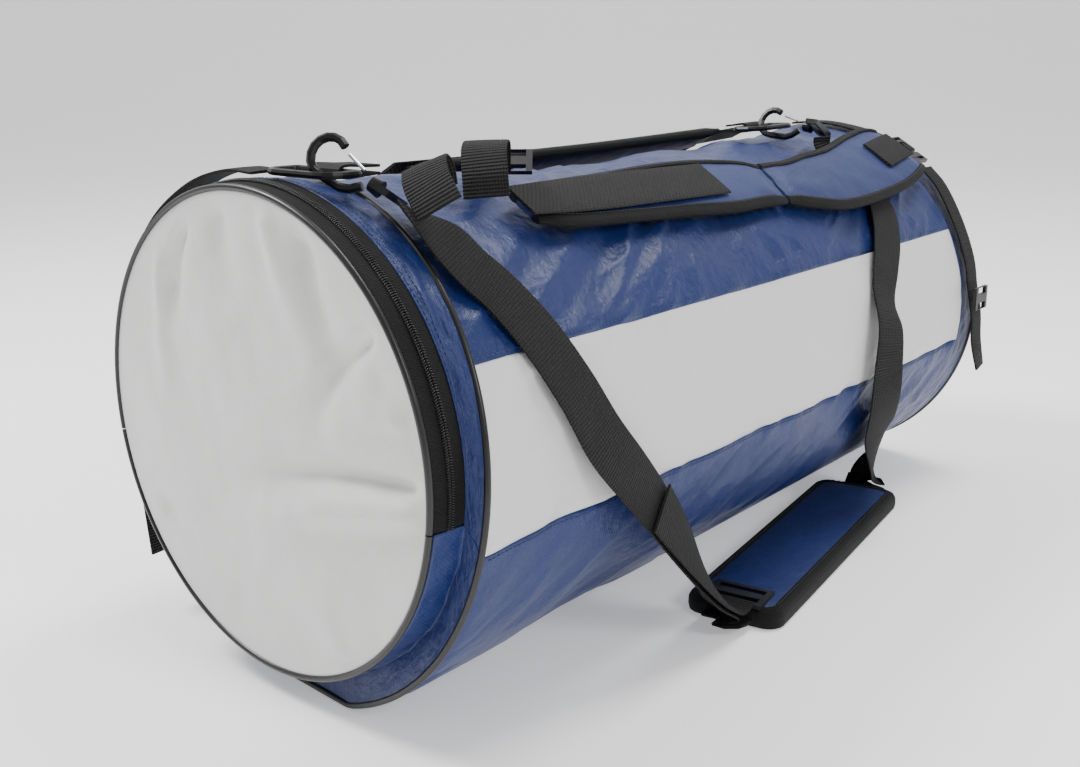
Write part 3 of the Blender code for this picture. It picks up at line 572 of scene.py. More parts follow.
def barrel_cloth(angle, along_share):
    """A point of the barrel's cloth, with its wrinkles, puckered ends and flat floor strip."""
    angle = angle - 360 if angle > 270 else angle
    mirrored = 180 - angle
    start = seam_point(angle)
    end = rear_point(angle, -REAR_GUSSET)
    base = sagged(start.lerp(end, along_share))
    round_it = math.radians(angle) * RADIUS
    along = base.x
    lift = cloth_folds(along, round_it, 2.0, 32.0)
    on_stripe = STRIPE_BOTTOM < angle < STRIPE_TOP or STRIPE_BOTTOM < mirrored < STRIPE_TOP
    edge_of_stripe = min(abs(a - b) for a in (angle, mirrored) for b in (STRIPE_TOP, STRIPE_BOTTOM))
    depth = FOLD_DEPTH
    if on_stripe:
        depth -= 0.72 * FOLD_DEPTH * smooth_step(0.0, 8.0, edge_of_stripe)
    to_end = min(base.x - start.x, end.x - base.x)
    gather = noise.noise(Vector((round_it * 75.0, along * 10.0, 5.0)))
    lift_total = depth * lift + 0.0013 * gather * math.exp(-to_end / 0.020)
    seam_dip = SEAM_CREASE * math.exp(-((edge_of_stripe * math.radians(1) * RADIUS / 0.003) ** 2))
    lift_total = min(lift_total, MOST_LIFT) - seam_dip
    lift_total *= smooth_step(0.0, 0.010, to_end) * 0.8 + 0.2
    point = base + outward(angle) * lift_total
    point.z = FLOOR_CLEAR if base.z < 0.0005 else max(point.z, FLOOR_CLEAR)
    return point


def build_barrel():
    zones = {
        "near_stripe_cloth": (STRIPE_BOTTOM, STRIPE_TOP, "stripe", "near_stripe_panel", 70),
        "top_cloth": (STRIPE_TOP, 180 - STRIPE_TOP, "blue", "top_panel", 230),
        "far_stripe_cloth": (180 - STRIPE_TOP, 180 - STRIPE_BOTTOM, "stripe", "far_stripe_panel", 60),
        "bottom_cloth": (180 - STRIPE_BOTTOM, 360 + STRIPE_BOTTOM, "blue", "bottom_panel", 200),
    }
    slots = {"stripe": "white_fabric", "blue": "blue_fabric"}
    for name, (first, last, finish, node, columns) in zones.items():
        size = (math.radians(last - first) * RADIUS, LENGTH - GUSSET_DEPTH)
        made = grid(
            name,
            columns,
            300,
            lambda a, b: barrel_cloth(first + (last - first) * a, b),
            FINISH[finish],
            flat_size=size,
            thick=CLOTH,
        )
        place_piece(made, "bag", slots[finish], node)
    made = grid(
        "rear_gusset_cloth",
        360,
        14,
        lambda a, b: rear_gusset_point(360 * a, b),
        FINISH["blue"],
        closed=True,
        flat_size=(2 * math.pi * REAR_RADIUS, REAR_GUSSET),
        thick=CLOTH,
    )
    place_piece(made, "bag", "blue_fabric", "rear_gusset")
    for name, angle in (("upper", STRIPE_TOP + 1.1), ("lower", STRIPE_BOTTOM - 1.1)):
        path = [barrel_cloth(angle, share / 300) for share in range(2, 299)]
        run = stitches(
            f"near_stripe_stitches_{name}",
            path,
            lambda index, angle=angle: outward(angle),
            FINISH["blue_thread"],
            lift=0.0007,
        )
        place_piece(run, "bag", "blue_fabric")


def rear_gusset_point(angle, share):
    base = rear_point(angle, -REAR_GUSSET * (1 - share))
    gather = noise.noise(Vector((math.radians(angle) * RADIUS * 60.0, share * 3.0, 11.0)))
    lift = 0.0012 * gather * math.sin(math.pi * share) - 0.0006 * (1 - abs(2 * share - 1))
    point = sagged(base) + outward(angle) * lift
    point.z = max(point.z, FLOOR_CLEAR)
    return point


# ---- Ends --------------------------------------------------------------------------------------

# Folds of the white end: start and end as (Y, Z from the middle), half-width, depth inwards
FOLDS = [
    ((-0.150, 0.000), (0.020, -0.034), 0.011, -0.0062),
    ((-0.150, -0.016), (0.010, -0.052), 0.013, 0.0050),
    ((-0.120, 0.085), (-0.060, 0.020), 0.010, -0.0042),
    ((-0.060, 0.145), (-0.100, 0.045), 0.012, -0.0040),
    ((-0.030, 0.155), (-0.070, 0.070), 0.010, 0.0032),
    ((0.060, 0.135), (0.080, 0.060), 0.010, -0.0034),
    ((0.090, 0.110), (0.088, 0.010), 0.009, 0.0026),
    ((0.020, 0.150), (0.010, 0.090), 0.014, -0.0028),
    ((-0.145, 0.040), (-0.080, 0.030), 0.012, 0.0030),
    ((0.120, -0.070), (0.050, -0.095), 0.014, -0.0024),
    ((-0.080, -0.130), (-0.030, -0.090), 0.014, 0.0022),
]


def fold_height(y, z):
    """How far the folds push the white end's cloth out, at a place from its middle."""
    total = 0.0022 * noise.noise(Vector((y * 14.0, z * 14.0, 4.0)))
    total += 0.0006 * noise.noise(Vector((y * 50.0, z * 50.0, 8.0)))
    for (y1, z1), (y2, z2), wide, depth in FOLDS:
        dy, dz = y2 - y1, z2 - z1
        size = math.hypot(dy, dz)
        share = ((y - y1) * dy + (z - z1) * dz) / (size * size)
        bow = 0.006 * math.sin(math.pi * min(max(share, 0.0), 1.0))
        aside = ((y - y1) * dz - (z - z1) * dy) / size + bow
        taper = smooth_step(-0.15, 0.12, share) * (1 - smooth_step(0.45, 1.15, share))
        spread = wide * (0.55 + 0.9 * min(max(share, 0.0), 1.0))
        total += depth * taper * math.exp(-((aside / spread) ** 2))
    return 1.5 * total


def build_white_end():
    """The zipped white end as one sheet, with a slight belly and its folds."""
    disc = END_RADIUS - 0.0018

    def point_at(turn_share, radius_share):
        radius = disc * radius_share
        turn = 2 * math.pi * turn_share
        y, z = -radius * math.cos(turn), radius * math.sin(turn)
        hold = 1 - smooth_step(0.90, 1.0, radius_share)
        belly = 0.0040 * (1 - radius_share**2)
        return Vector((FRONT_X - belly - fold_height(y, z) * hold, y, END_CENTRE_Z + z))

    columns, rows = 300, 110
    points = [point_at(c / columns, (r + 1) / rows) for r in range(rows) for c in range(columns)]
    points.append(point_at(0.0, 0.0))
    faces = []
    for row in range(rows - 1):
        for column in range(columns):
            right = (column + 1) % columns
            low, high = row * columns, (row + 1) * columns
            faces.append((low + column, high + column, high + right, low + right))
    for column in range(columns):
        faces.append((len(points) - 1, column, (column + 1) % columns))
    mesh = bpy.data.meshes.new("white_end_cloth")
    mesh.from_pydata(points, [], faces)
    mesh.uv_layers.new(name="UVMap")
    flat_uv(mesh, 1, 2)
    made = link(bpy.data.objects.new("white_end_cloth", mesh), FINISH["white"])
    thicken(made, CLOTH)
    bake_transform(made)
    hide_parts("end_flap", "end_panel_lower")


def build_rear_end():
    disc_y = REAR_RADIUS - 0.0018

    def point_at(turn_share, radius_share):
        point = rear_point(360 * turn_share)
        y = point.y * disc_y / REAR_RADIUS * radius_share
        z = REAR_CENTRE_Z + (max(point.z, 0.004) - REAR_CENTRE_Z) * 0.99 * radius_share
        hold = 1 - smooth_step(0.85, 1.0, radius_share)
        bulge = 0.003 * (1 - radius_share**2) + 0.5 * fold_height(-y, z - REAR_CENTRE_Z) * hold
        return Vector((REAR_X + bulge, y, z))

    made = grid(
        "rear_end_cloth",
        240,
        70,
        lambda a, b: point_at(a, 0.004 + 0.996 * b),
        FINISH["white"],
        closed=True,
        flat_size=(1.0, 1.0),
        thick=CLOTH,
    )
    flat_uv(made.data, 1, 2)
    place_piece(made, "bag", "white_fabric", "rear_end_panel")


def build_gusset():
    zip_end = ZIP_START + ZIP_WIDTH
    under_zip = 0.4

    def point_at(angle, share, first_depth):
        start = zip_ring(angle, first_depth)
        end = seam_point(angle, -0.0006)
        round_it = math.radians(angle) * RADIUS
        gather = noise.noise(Vector((round_it * 34.0, share * 2.2, 21.0)))
        fine = noise.noise(Vector((round_it * 85.0, share * 5.0, 27.0)))
        lift = (0.0022 * gather + 0.0009 * fine) * math.sin(math.pi * share)
        bare = first_depth == ZIP_START
        corner = zip_ring(angle, zip_end)
        if bare and share < under_zip:
            spot = start.lerp(corner, share / under_zip)
        else:
            spot = corner.lerp(end, (share - under_zip) / (1 - under_zip) if bare else share)
        point = spot + outward(angle) * min(lift, 0.0016)
        point.z = max(point.z, FLOOR_CLEAR)
        return point

    spans = {
        "gusset_cloth_upper": (-ZIP_END_ANGLE, 180 + ZIP_END_ANGLE, zip_end, "gusset_upper"),
        "gusset_cloth_lower": (180 + ZIP_END_ANGLE, 360 - ZIP_END_ANGLE, ZIP_START, "gusset_lower"),
    }
    for name, (first, last, depth, node) in spans.items():
        made = grid(
            name,
            260,
            26,
            lambda a, b: point_at(first + (last - first) * a, b, depth),
            FINISH["blue"],
            flat_size=(math.radians(last - first) * RADIUS, GUSSET_DEPTH),
            thick=CLOTH,
        )
        place_piece(made, "bag", "blue_fabric", node)
    for row, share in enumerate((0.10, 0.26)):
        angles = np.linspace(-ZIP_END_ANGLE + 0.6, 180 + ZIP_END_ANGLE - 0.6, 240)
        path = [point_at(angle, share, zip_end) for angle in angles]
        run = stitches(
            f"gusset_stitches_{row}",
            path,
            lambda index, angles=angles: outward(angles[index]),
            FINISH["blue_thread"],
            lift=0.0008,
        )
        place_piece(run, "bag", "blue_fabric")


def build_piping():
    def ring(point_at):
        points = [point_at(angle) for angle in np.linspace(0, 360, 241)[:-1]]
        for point in points:
            point.z = max(point.z, PIPING)
        return points

    for name, points in (
        ("gusset_seam_piping", ring(seam_point)),
        ("rear_rim_piping", ring(rear_point)),
    ):
        made = tube(f"{name}_cord", points, PIPING, FINISH["piping"], closed=True)
        place_piece(made, "bag", "piping", name)
    spans = (
        ("flap_rim_piping", "end_flap", -ZIP_END_ANGLE + 0.6, 180 + ZIP_END_ANGLE - 0.6),
        ("lower_rim_piping", "bag", 180 + ZIP_END_ANGLE - 0.3, 360 - ZIP_END_ANGLE + 0.3),
    )
    for node, body, first, last in spans:
        arc = [end_ring(angle, 0.0, END_RADIUS) for angle in np.linspace(first, last, 150)]
        made = tube(f"{node}_cord", arc, PIPING, FINISH["piping"])
        place_piece(made, body, "piping", node)


# ---- Zip ---------------------------------------------------------------------------------------


def build_zip():
    middle = ZIP_START + ZIP_WIDTH / 2
    first, last = -ZIP_END_ANGLE + 0.4, 180 + ZIP_END_ANGLE - 0.4
    span = math.radians(last - first) * END_RADIUS
    halves = (
        ("flap_side", "end_flap", ZIP_START - 0.0006, middle - 0.0002, -1),
        ("gusset_side", "bag", middle + 0.0002, ZIP_START + ZIP_WIDTH + 0.0006, 1),
    )
    for side, body, near, far, sign in halves:
        made = grid(
            f"zip_tape_{side}_cloth",
            260,
            8,
            lambda a, b: zip_ring(
                first + (last - first) * a,
                near + (far - near) * b,
                0.0004 * math.cos(b * math.pi) * sign,
            ),
            FINISH["tape"],
            flat_size=(span, far - near),
            thick=0.0008,
        )
        place_piece(made, body, "zip_tape", f"zip_tape_{side}")
        turns = int(span / TEETH_PITCH)
        per_turn = 7
        points = []
        for index in range(turns * per_turn):
            phase = 2 * math.pi * index / per_turn
            angle = first + (last - first) * index / (turns * per_turn)
            depth = middle + sign * (0.0013 + 0.0011 * math.cos(phase))
            points.append(zip_ring(angle, depth, 0.0013 + 0.0008 * math.sin(phase)))
        coil = tube(f"zip_coil_{side}_teeth", points, 0.00042, FINISH["coil"], resolution=1)
        place_piece(coil, body, "zip_coil", f"zip_coil_{side}")


# ---- Straps ------------------------------------------------------------------------------------


def on_barrel(x, angle, lift, width):
    return (*barrel(x, angle, lift), width, *outward(angle))


def padded_strap(name, rows, body, node, seed):
    """A padded band that pulls in at its bound edges, and the black binding round both edges."""
    thick = STRAP_THICK
    rings = []
    distances = []
    frames = band_frames(rows, 12)
    total = frames[-1][4]
    shares = [math.sin(math.pi * (step / 14 - 0.5)) for step in range(15)]
    edges = {-1: [], 1: []}
    for middle, side, face, width, distance in frames:
        half = width / 2
        from_end = min(distance, total - distance)
        fill = 0.45 + 0.55 * smooth_step(0.0, 0.018, from_end)
        ring = []
        for share in shares:
            crown = (1 - abs(share) ** 2.6) ** 0.8
            rumple = noise.noise(Vector((distance * 38.0, share * 2.4, seed)))
            height = thick / 2 * fill * (0.30 + 0.70 * crown) + 0.0011 * rumple * crown
            ring.append(middle + side * (half * share) + face * height)
        for share in shares[::-1]:
            crown = (1 - abs(share) ** 2.6) ** 0.8
            height = thick / 2 * fill * (0.30 + 0.60 * crown)
            ring.append(middle + side * (half * share) - face * height)
        rings.append(ring)
        distances.append(distance)
        for sign in (-1, 1):
            edges[sign].append((middle, side * sign, face, half, distance, fill))
    pad = loft(name, rings, distances, FINISH["pad_blue"])
    place_piece(pad, body, "blue_fabric", node)
    for sign, frames in edges.items():
        bind_edge(f"{name}_binding_{'near' if sign > 0 else 'far'}", frames, thick, body)


def bind_edge(name, frames, thick, body):
    """A folded strip of tape that wraps a pad's edge, with its row of stitches."""
    trim = BINDING_WIDTH
    rings = []
    distances = []
    seam = []
    faces = []
    for middle, side, face, half, distance, fill in frames:
        outer = half + 0.0011
        height = thick / 2 * fill
        section = (
            (half - trim, height * 0.84 + 0.0004),
            (half - trim * 0.55, height * 0.72 + 0.0011),
            (outer - 0.0012, height * 0.40 + 0.0009),
            (outer, 0.0),
            (outer - 0.0012, -height * 0.40 - 0.0009),
            (half - trim * 0.55, -height * 0.72 - 0.0009),
            (half - trim, -height * 0.80 - 0.0002),
            (half - trim - 0.0004, 0.0),
        )
        rings.append([middle + side * a + face * b for a, b in section])
        distances.append(distance)
        seam.append(middle + side * (half - trim * 0.72) + face * (height * 0.77 + 0.0011))
        faces.append(face)
    tape = loft(name, rings, distances, FINISH["binding"])
    place_piece(tape, body, "blue_fabric")
    run = stitches(f"{name}_stitches", seam, lambda index: faces[index], FINISH["black_thread"])
    place_piece(run, body, "blue_fabric")


def build_backpack_straps():
    near_front = [
        (-0.222, 58, 0.030),
        (-0.190, 58, 0.044),
        (-0.120, 58, 0.052),
        (-0.050, 58, 0.060),
        (0.000, 57, 0.062),
        (0.040, 56, 0.056),
        (0.074, 54, 0.048),
    ]
    near_rear = [
        (0.0785, 54, 0.048),
        (0.110, 52, 0.054),
        (0.150, 51, 0.066),
        (0.200, 51.5, 0.070),
        (0.260, 54, 0.078),
        (0.300, 56, 0.076),
        (0.328, 57, 0.066),
    ]
    far = [
        (-0.160, 119, 0.036),
        (-0.120, 119, 0.048),
        (-0.040, 119, 0.058),
        (0.060, 119, 0.060),
        (0.140, 118, 0.056),
        (0.200, 117, 0.050),
        (0.262, 116, 0.040),
    ]
    pads = (
        ("near_carry_pad", near_front, "backpack_strap_near", "backpack_strap_near", 1.0),
        ("near_rear_pad", near_rear, "bag", "backpack_strap_near_rear", 2.0),
        ("far_carry_pad", far, "backpack_strap_far", "backpack_strap_far", 3.0),
    )
    for name, rows, body, node, seed in pads:
        placed = [on_barrel(x, angle, STRAP_LIFT, width) for x, angle, width in rows]
        padded_strap(name, placed, body, node, seed)
    bands = {
        "backpack_webbing_near": (
            [(-0.230, 58, 0.030), (-0.17, 58, 0.036), (-0.08, 58, 0.038), (-0.002, 57.5, 0.038)],
            "backpack_strap_near",
            STRAP_WEB_LIFT,
        ),
        "backpack_webbing_far": (
            [(-0.170, 119, 0.030), (-0.10, 119, 0.036), (-0.03, 119, 0.038), (0.050, 119, 0.038)],
            "backpack_strap_far",
            STRAP_WEB_LIFT,
        ),
        "near_rear_anchor_webbing": (
            [(0.262, 54.5, 0.034), (0.295, 56, 0.034), (0.322, 57, 0.034)],
            "bag",
            STRAP_WEB_LIFT,
        ),
        "far_rear_anchor_webbing": (
            [(0.266, 116, 0.034), (0.300, 116, 0.034), (0.335, 116, 0.034)],
            "bag",
            STRAP_LIFT,
        ),
    }
    for node, (rows, body, height) in bands.items():
        placed = [on_barrel(x, angle, height, width) for x, angle, width in rows]
        made = webbing(f"{node}_band", placed, "diamond")
        place_piece(made, body, "webbing", node)


PAD_CENTRE = Vector((0.0618, -0.1600, 0.0))
PAD_TURN = math.radians(9.0)
PAD_LENGTH = 0.306
PAD_WIDTH = 0.078


def build_shoulder_strap():
    along = Vector((math.cos(PAD_TURN), math.sin(PAD_TURN), 0.0))
    level = 0.0055
    up = (0.0, 0.0, 1.0)

    def in_pad(distance, height=level):
        spot = PAD_CENTRE + along * distance
        return (spot.x, spot.y, height, WEBBING, *up)

    reach = PAD_LENGTH / 2
    run = [
        (-0.3240, -0.0935, 0.3385, 0.030, 0.52, -0.36, 0.78),
        (-0.3200, -0.1030, 0.3310, 0.032, 0.30, -0.50, 0.78),
        (-0.3120, -0.1170, 0.3180, 0.036, 0.0, -0.68, 0.74),
        (-0.3030, -0.1300, 0.3010, WEBBING, 0.0, -0.76, 0.65),
        (-0.2900, -0.1435, 0.2830, WEBBING, 0.0, -0.80, 0.60),
        (-0.2770, -0.1625, 0.2560, WEBBING, 0.0, -0.88, 0.46),
        (-0.2620, -0.1780, 0.2220, WEBBING, 0.0, -0.95, 0.30),
        (-0.2460, -0.1870, 0.1880, WEBBING, 0.0, -0.99, 0.10),
        (-0.2200, -0.1890, 0.1570, WEBBING, 0.08, -0.99, 0.05),
        (-0.1920, -0.1885, 0.1260, WEBBING, 0.15, -0.97, 0.15),
        (-0.1680, -0.1885, 0.0960, WEBBING, 0.25, -0.90, 0.30),
        (-0.1450, -0.1885, 0.0660, WEBBING, 0.30, -0.75, 0.55),
        (-0.1220, -0.1880, 0.0370, WEBBING, 0.28, -0.50, 0.80),
        (-0.1040, -0.1850, 0.0170, WEBBING, 0.20, -0.20, 0.95),
        in_pad(-reach - 0.012, level + 0.0010),
        in_pad(-reach + 0.004),
        in_pad(-reach * 0.5),
        in_pad(0.0),
        in_pad(reach * 0.5),
        in_pad(reach - 0.002),
        in_pad(reach + 0.013, level + 0.0006),
        (0.2385, -0.1330, 0.0130, WEBBING, 0.95, -0.10, 0.20),
        (0.2300, -0.1410, 0.0310, WEBBING, 0.30, -0.80, 0.10),
        (0.2050, -0.1560, 0.0540, WEBBING, -0.10, -0.95, 0.10),
        (0.1760, -0.1710, 0.0820, WEBBING, -0.35, -0.92, 0.05),
        (0.1560, -0.1850, 0.1160, WEBBING, -0.30, -0.95, 0.05),
        (0.1480, -0.1900, 0.1500, WEBBING, -0.20, -0.97, 0.0),
        (0.1520, -0.1880, 0.1860, WEBBING, -0.10, -0.99, 0.05),
        on_barrel(0.163, 14, 0.0055, WEBBING),
        on_barrel(0.182, 23, 0.0055, WEBBING),
        on_barrel(0.205, 31, 0.0050, WEBBING),
        on_barrel(0.222, 39, 0.0050, WEBBING),
        on_barrel(0.229, 47, 0.0046, WEBBING),
        on_barrel(0.227, 55, 0.0046, WEBBING),
        on_barrel(0.226, 62, 0.0050, 0.034),
        (0.2240, -0.0750, 0.3330, 0.030, 0.0, -0.85, 0.50),
        (0.2240, -0.0745, 0.3405, 0.030, 0.0, -0.98, 0.20),
    ]
    made = webbing("shoulder_strap_band", run)
    place_piece(made, "bag", "webbing", "shoulder_strap_webbing")
    doubled = []
    for x, y, z, width, *face in run[9:14]:
        spot = Vector((x, y, z)) + Vector(face).normalized() * 0.0042
        doubled.append((*spot, width, *face))
    doubled += [
        (-0.0945, -0.1845, 0.0175, WEBBING, 0.10, -0.05, 0.99),
        (-0.0860, -0.1830, 0.0185, WEBBING, *up),
    ]
    made = webbing("shoulder_strap_doubled_band", doubled)
    place_piece(made, "bag", "webbing", "shoulder_strap_doubled_end")
    build_shoulder_pad(along)


def rounded_outline(length, width, radius, steps=10):
    """Points round a rectangle with round corners, from the middle of its +X end."""
    found = []
    for sign_x, sign_y, start in ((1, 1, 0), (-1, 1, 90), (-1, -1, 180), (1, -1, 270)):
        centre = (sign_x * (length / 2 - radius), sign_y * (width / 2 - radius))
        for step in range(steps + 1):
            turn = math.radians(start + 90 * step / steps)
            found.append((centre[0] + radius * math.cos(turn), centre[1] + radius * math.sin(turn)))
    dense = []
    for first, second in zip(found, found[1:] + found[:1]):
        size = math.dist(first, second)
        parts = max(1, int(size / 0.004))
        for part in range(parts):
            share = part / parts
            dense.append(
                (first[0] + (second[0] - first[0]) * share, first[1] + (second[1] - first[1]) * share)
            )
    return dense


def build_shoulder_pad(along):
    """The pad on the floor: a crowned blue cushion with a thick black band round its rim."""
    side = Vector((-along.y, along.x, 0.0))
    outline = rounded_outline(PAD_LENGTH - 0.004, PAD_WIDTH - 0.004, 0.012)
    levels = (
        (1.00, 0.0030),
        (1.00, 0.0085),
        (0.985, 0.0115),
        (0.95, 0.0130),
        (0.90, 0.0137),
        (0.80, 0.0145),
        (0.65, 0.0150),
        (0.45, 0.0153),
        (0.20, 0.0155),
        (0.02, 0.0155),
    )
    rings = []
    for share, height in levels:
        ring = []
        for x, y in outline:
            inset = (1 - share) * PAD_WIDTH / 2
            px = x - math.copysign(min(abs(x), inset), x)
            py = y * share
            rumple = 0.0007 * noise.noise(Vector((px * 40.0, py * 40.0, 31.0))) * (1 - share)
            ring.append(PAD_CENTRE + along * px + side * py + Vector((0, 0, height + rumple)))
        rings.append(ring)
    distances = [0.0, 0.006, 0.009, 0.012, 0.015, 0.019, 0.025, 0.033, 0.042, 0.050]
    pad = loft("shoulder_pad_cushion", rings, distances, FINISH["pad_blue"])
    flat_uv(pad.data, 0, 1)
    place_piece(pad, "shoulder_pad", "blue_fabric", "shoulder_pad")
    rim = rounded_outline(PAD_LENGTH, PAD_WIDTH, 0.014)
    section = (
        (0.0, 0.0005),
        (0.0008, 0.0040),
        (0.0006, 0.0095),
        (-0.0012, 0.0128),
        (-0.0045, 0.0146),
        (-0.0085, 0.0150),
        (-0.0090, 0.0135),
        (-0.0090, 0.0005),
    )
    bound = grid(
        "shoulder_pad_binding",
        len(rim),
        len(section) - 1,
        lambda a, b: rim_point(rim, section, a, b, along, side),
        FINISH["binding"],
        closed=True,
        flat_size=(2 * (PAD_LENGTH + PAD_WIDTH), 0.034),
    )
    place_piece(bound, "shoulder_pad", "blue_fabric")
    path = [PAD_CENTRE + along * (x * 0.962) + side * (y * 0.84) for x, y in rim + rim[:1]]
    for point in path:
        point.z = 0.0150
    run = stitches("shoulder_pad_stitches", path, lambda index: Vector((0, 0, 1)), FINISH["black_thread"])
    place_piece(run, "shoulder_pad", "blue_fabric")


def rim_point(rim, section, turn_share, level_share, along, side):
    index = int(round(turn_share * len(rim))) % len(rim)
    x, y = rim[index]
    before, after = rim[index - 1], rim[(index + 1) % len(rim)]
    out = Vector((after[1] - before[1], before[0] - after[0])).normalized()
    push, height = section[int(round(level_share * (len(section) - 1)))]
    px, py = x + out.x * push, y + out.y * push
    return PAD_CENTRE + along * px + side * py + Vector((0.0, 0.0, height))


def standing_loop(name, points, width, node):
    middle = sum((Vector(point) for point in points), Vector()) / len(points)
    rows = [(*point, width, *(Vector(point) - middle).normalized()) for point in points]
    place_piece(webbing(name, rows), "bag", "webbing", node)


def build_loops():
    standing_loop(
        "front_strap_loop_band",
        [
            (-0.3210, -0.1225, 0.3375),
            (-0.3205, -0.1165, 0.3450),
            (-0.3160, -0.1060, 0.3540),
            (-0.3060, -0.0950, 0.3610),
            (-0.2930, -0.0870, 0.3560),
            (-0.2880, -0.0840, 0.3450),
        ],
        0.030,
        "front_strap_loop",
    )
    standing_loop(
        "carry_loop_band",
        [
            (-0.2520, -0.0950, 0.3350),
            (-0.2490, -0.0910, 0.3520),
            (-0.2410, -0.0830, 0.3640),
            (-0.2270, -0.0720, 0.3680),
            (-0.2130, -0.0610, 0.3640),
            (-0.2070, -0.0550, 0.3530),
            (-0.2050, -0.0530, 0.3440),
        ],
        0.030,
        "carry_loop",
    )


def build_hanging_straps():
    front = [
        (-0.3420, 0.0150, 0.3535, 0.025, 0.0, 0.05, 1.0),
        (-0.3430, 0.0450, 0.3535, 0.025, 0.0, 0.25, 0.97),
        (-0.3450, 0.0850, 0.3420, 0.025, 0.0, 0.50, 0.86),
        (-0.3480, 0.1260, 0.3160, 0.025, 0.0, 0.72, 0.70),
        (-0.3480, 0.1580, 0.2800, 0.024, 0.0, 0.88, 0.48),
        (-0.3475, 0.1770, 0.2360, 0.024, 0.0, 0.97, 0.25),
        (-0.3468, 0.1845, 0.1900, 0.024, 0.0, 1.0, 0.05),
        (-0.3468, 0.1855, 0.1400, 0.024, 0.0, 1.0, 0.0),
        (-0.3450, 0.1850, 0.0900, 0.024, 0.0, 1.0, 0.0),
        (-0.3430, 0.1840, 0.0450, 0.024, 0.0, 1.0, 0.0),
    ]
    made = webbing("front_hanging_band", front)
    place_piece(made, "bag", "webbing", "front_hanging_strap")
    strap_x = REAR_X - 0.0160

    def round_rim(angle, lift):
        radius = REAR_RADIUS - 0.001 + lift
        out = outward(angle)
        return (strap_x, radius * out.y, REAR_CENTRE_Z + radius * out.z, RIM_STRAP, *out)

    upper = [round_rim(angle, 0.004) for angle in (98, 88, 76)] + [round_rim(66, 0.0060)]
    made = webbing("rear_rim_band", upper)
    place_piece(made, "bag", "webbing", "rear_rim_strap")
    lower = [round_rim(angle, 0.0095) for angle in (48, 40)]
    lower += [round_rim(angle, 0.0070) for angle in (28, 16, 6)]
    lower += [
        (strap_x + 0.003, -0.1820, 0.1620, RIM_STRAP, 0.0, -1.0, -0.02),
        (strap_x + 0.006, -0.1830, 0.1350, RIM_STRAP, 0.0, -1.0, 0.02),
        (strap_x + 0.010, -0.1870, 0.1080, RIM_STRAP, 0.1, -1.0, 0.10),
    ]
    made = webbing("rear_hanging_band", lower)
    place_piece(made, "rear_buckle_half", "webbing", "rear_hanging_strap")


# ---- Hardware that keeps its own shape ---------------------------------------------------------


def dress_hardware():
    """Better finishes and rounded edges for the frame's own metal, plastic and keeper pieces."""
    finishes = {
        "enamel": [
            f"{end}_{part}"
            for end in ("front", "rear")
            for part in ("d_ring", "hook_body", "hook_swivel", "hook_eye")
        ]
        + ["zip_slider", "zip_pull"],
        "steel": ["front_hook_gate", "rear_hook_gate"],
        "plastic": [
            "shoulder_strap_adjuster",
            "carry_loop_ladder_lock",
            "rear_rim_buckle_housing",
            "rear_rim_buckle_prongs",
            "rear_ladder_lock",
        ],
        "webbing": ["front_d_ring_keeper", "rear_d_ring_keeper"],
    }
    for finish, nodes in finishes.items():
        for node in nodes:
            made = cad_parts[node]
            for entry in made.material_slots:
                entry.material = FINISH[finish]
            if finish in ("plastic", "enamel") and "body" not in node:
                edge = made.modifiers.new("Softened edges", "BEVEL")
                edge.width = 0.0004
                edge.segments = 2
                edge.limit_method = "ANGLE"


# ---- Stage -------------------------------------------------------------------------------------


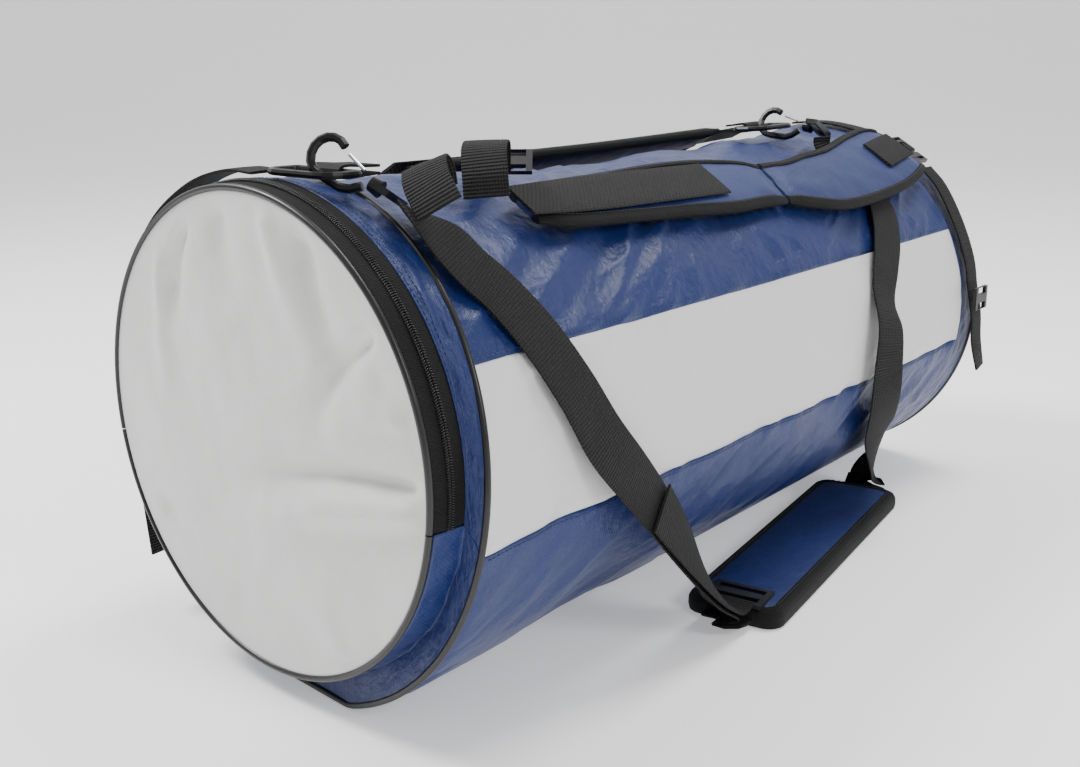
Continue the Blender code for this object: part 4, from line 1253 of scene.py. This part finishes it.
def sweep_point(aside_share, share):
    """A studio sweep: floor under the bag that curves up into a wall far behind it."""
    ahead = Vector((0.75, 0.66, 0.0))
    aside = Vector((0.66, -0.75, 0.0))
    near, far, curve, wall, width, below = 3.0, 4.0, 2.0, 6.0, 40.0, 0.0004
    distance = share * (near + far + curve * math.pi / 2 + wall) - near
    beyond = distance - far
    turn = min(max(beyond / curve, 0.0), math.pi / 2)
    forward = min(distance, far) + curve * math.sin(turn)
    up = curve * (1 - math.cos(turn)) + max(beyond - curve * math.pi / 2, 0.0)
    return ahead * forward + aside * ((aside_share - 0.5) * width) + Vector((0, 0, up - below))


def build_stage():
    made = Nodes("pale_floor")
    made.set(Base_Color=(0.95, 0.95, 0.95, 1.0), Roughness=0.7, Specular_IOR_Level=0.2)
    made.set(Emission_Color=(1.0, 1.0, 1.0, 1.0), Emission_Strength=0.35)
    floor = grid("pale_floor", 2, 60, sweep_point, made.made, flat_size=(1.0, 1.0))
    world = bpy.data.worlds.new("studio")
    world.use_nodes = True
    back = world.node_tree.nodes["Background"]
    back.inputs["Color"].default_value = (1.0, 1.0, 1.0, 1.0)
    back.inputs["Strength"].default_value = 0.55
    bpy.context.scene.world = world
    lamps = (
        ("key", (-0.9, 1.3, 2.0), 0.7, 62.0),
        ("side", (-0.2, -2.6, 1.7), 0.8, 30.0),
        ("top", (0.8, -0.3, 2.4), 0.9, 40.0),
    )
    for name, place, size, power in lamps:
        data = bpy.data.lights.new(name, "AREA")
        data.size = size
        data.energy = power
        lamp = bpy.data.objects.new(name, data)
        lamp.location = place
        aim = Vector((0.0, 0.0, 0.15)) - Vector(place)
        lamp.rotation_euler = aim.to_track_quat("-Z", "Y").to_euler()
        bpy.context.scene.collection.objects.link(lamp)


def build_camera():
    right = Vector((0.6615, -0.7497, -0.0180)).normalized()
    ahead = Vector((0.7220, 0.6370, -0.2700)).normalized()
    right = (right - ahead * right.dot(ahead)).normalized()
    up = right.cross(ahead)
    data = bpy.data.cameras.new("camera")
    data.sensor_width = 36.0
    data.lens = 41.155
    camera = bpy.data.objects.new("camera", data)
    turned = Matrix((right, up, -ahead)).transposed().to_4x4()
    camera.matrix_world = Matrix.Translation((-0.830, -0.648, 0.434)) @ turned
    bpy.context.scene.collection.objects.link(camera)
    bpy.context.scene.camera = camera


build_camera()
build_stage()
build_barrel()
build_white_end()
build_rear_end()
build_gusset()
build_piping()
build_zip()
build_shoulder_strap()
build_backpack_straps()
build_loops()
build_hanging_straps()
dress_hardware()
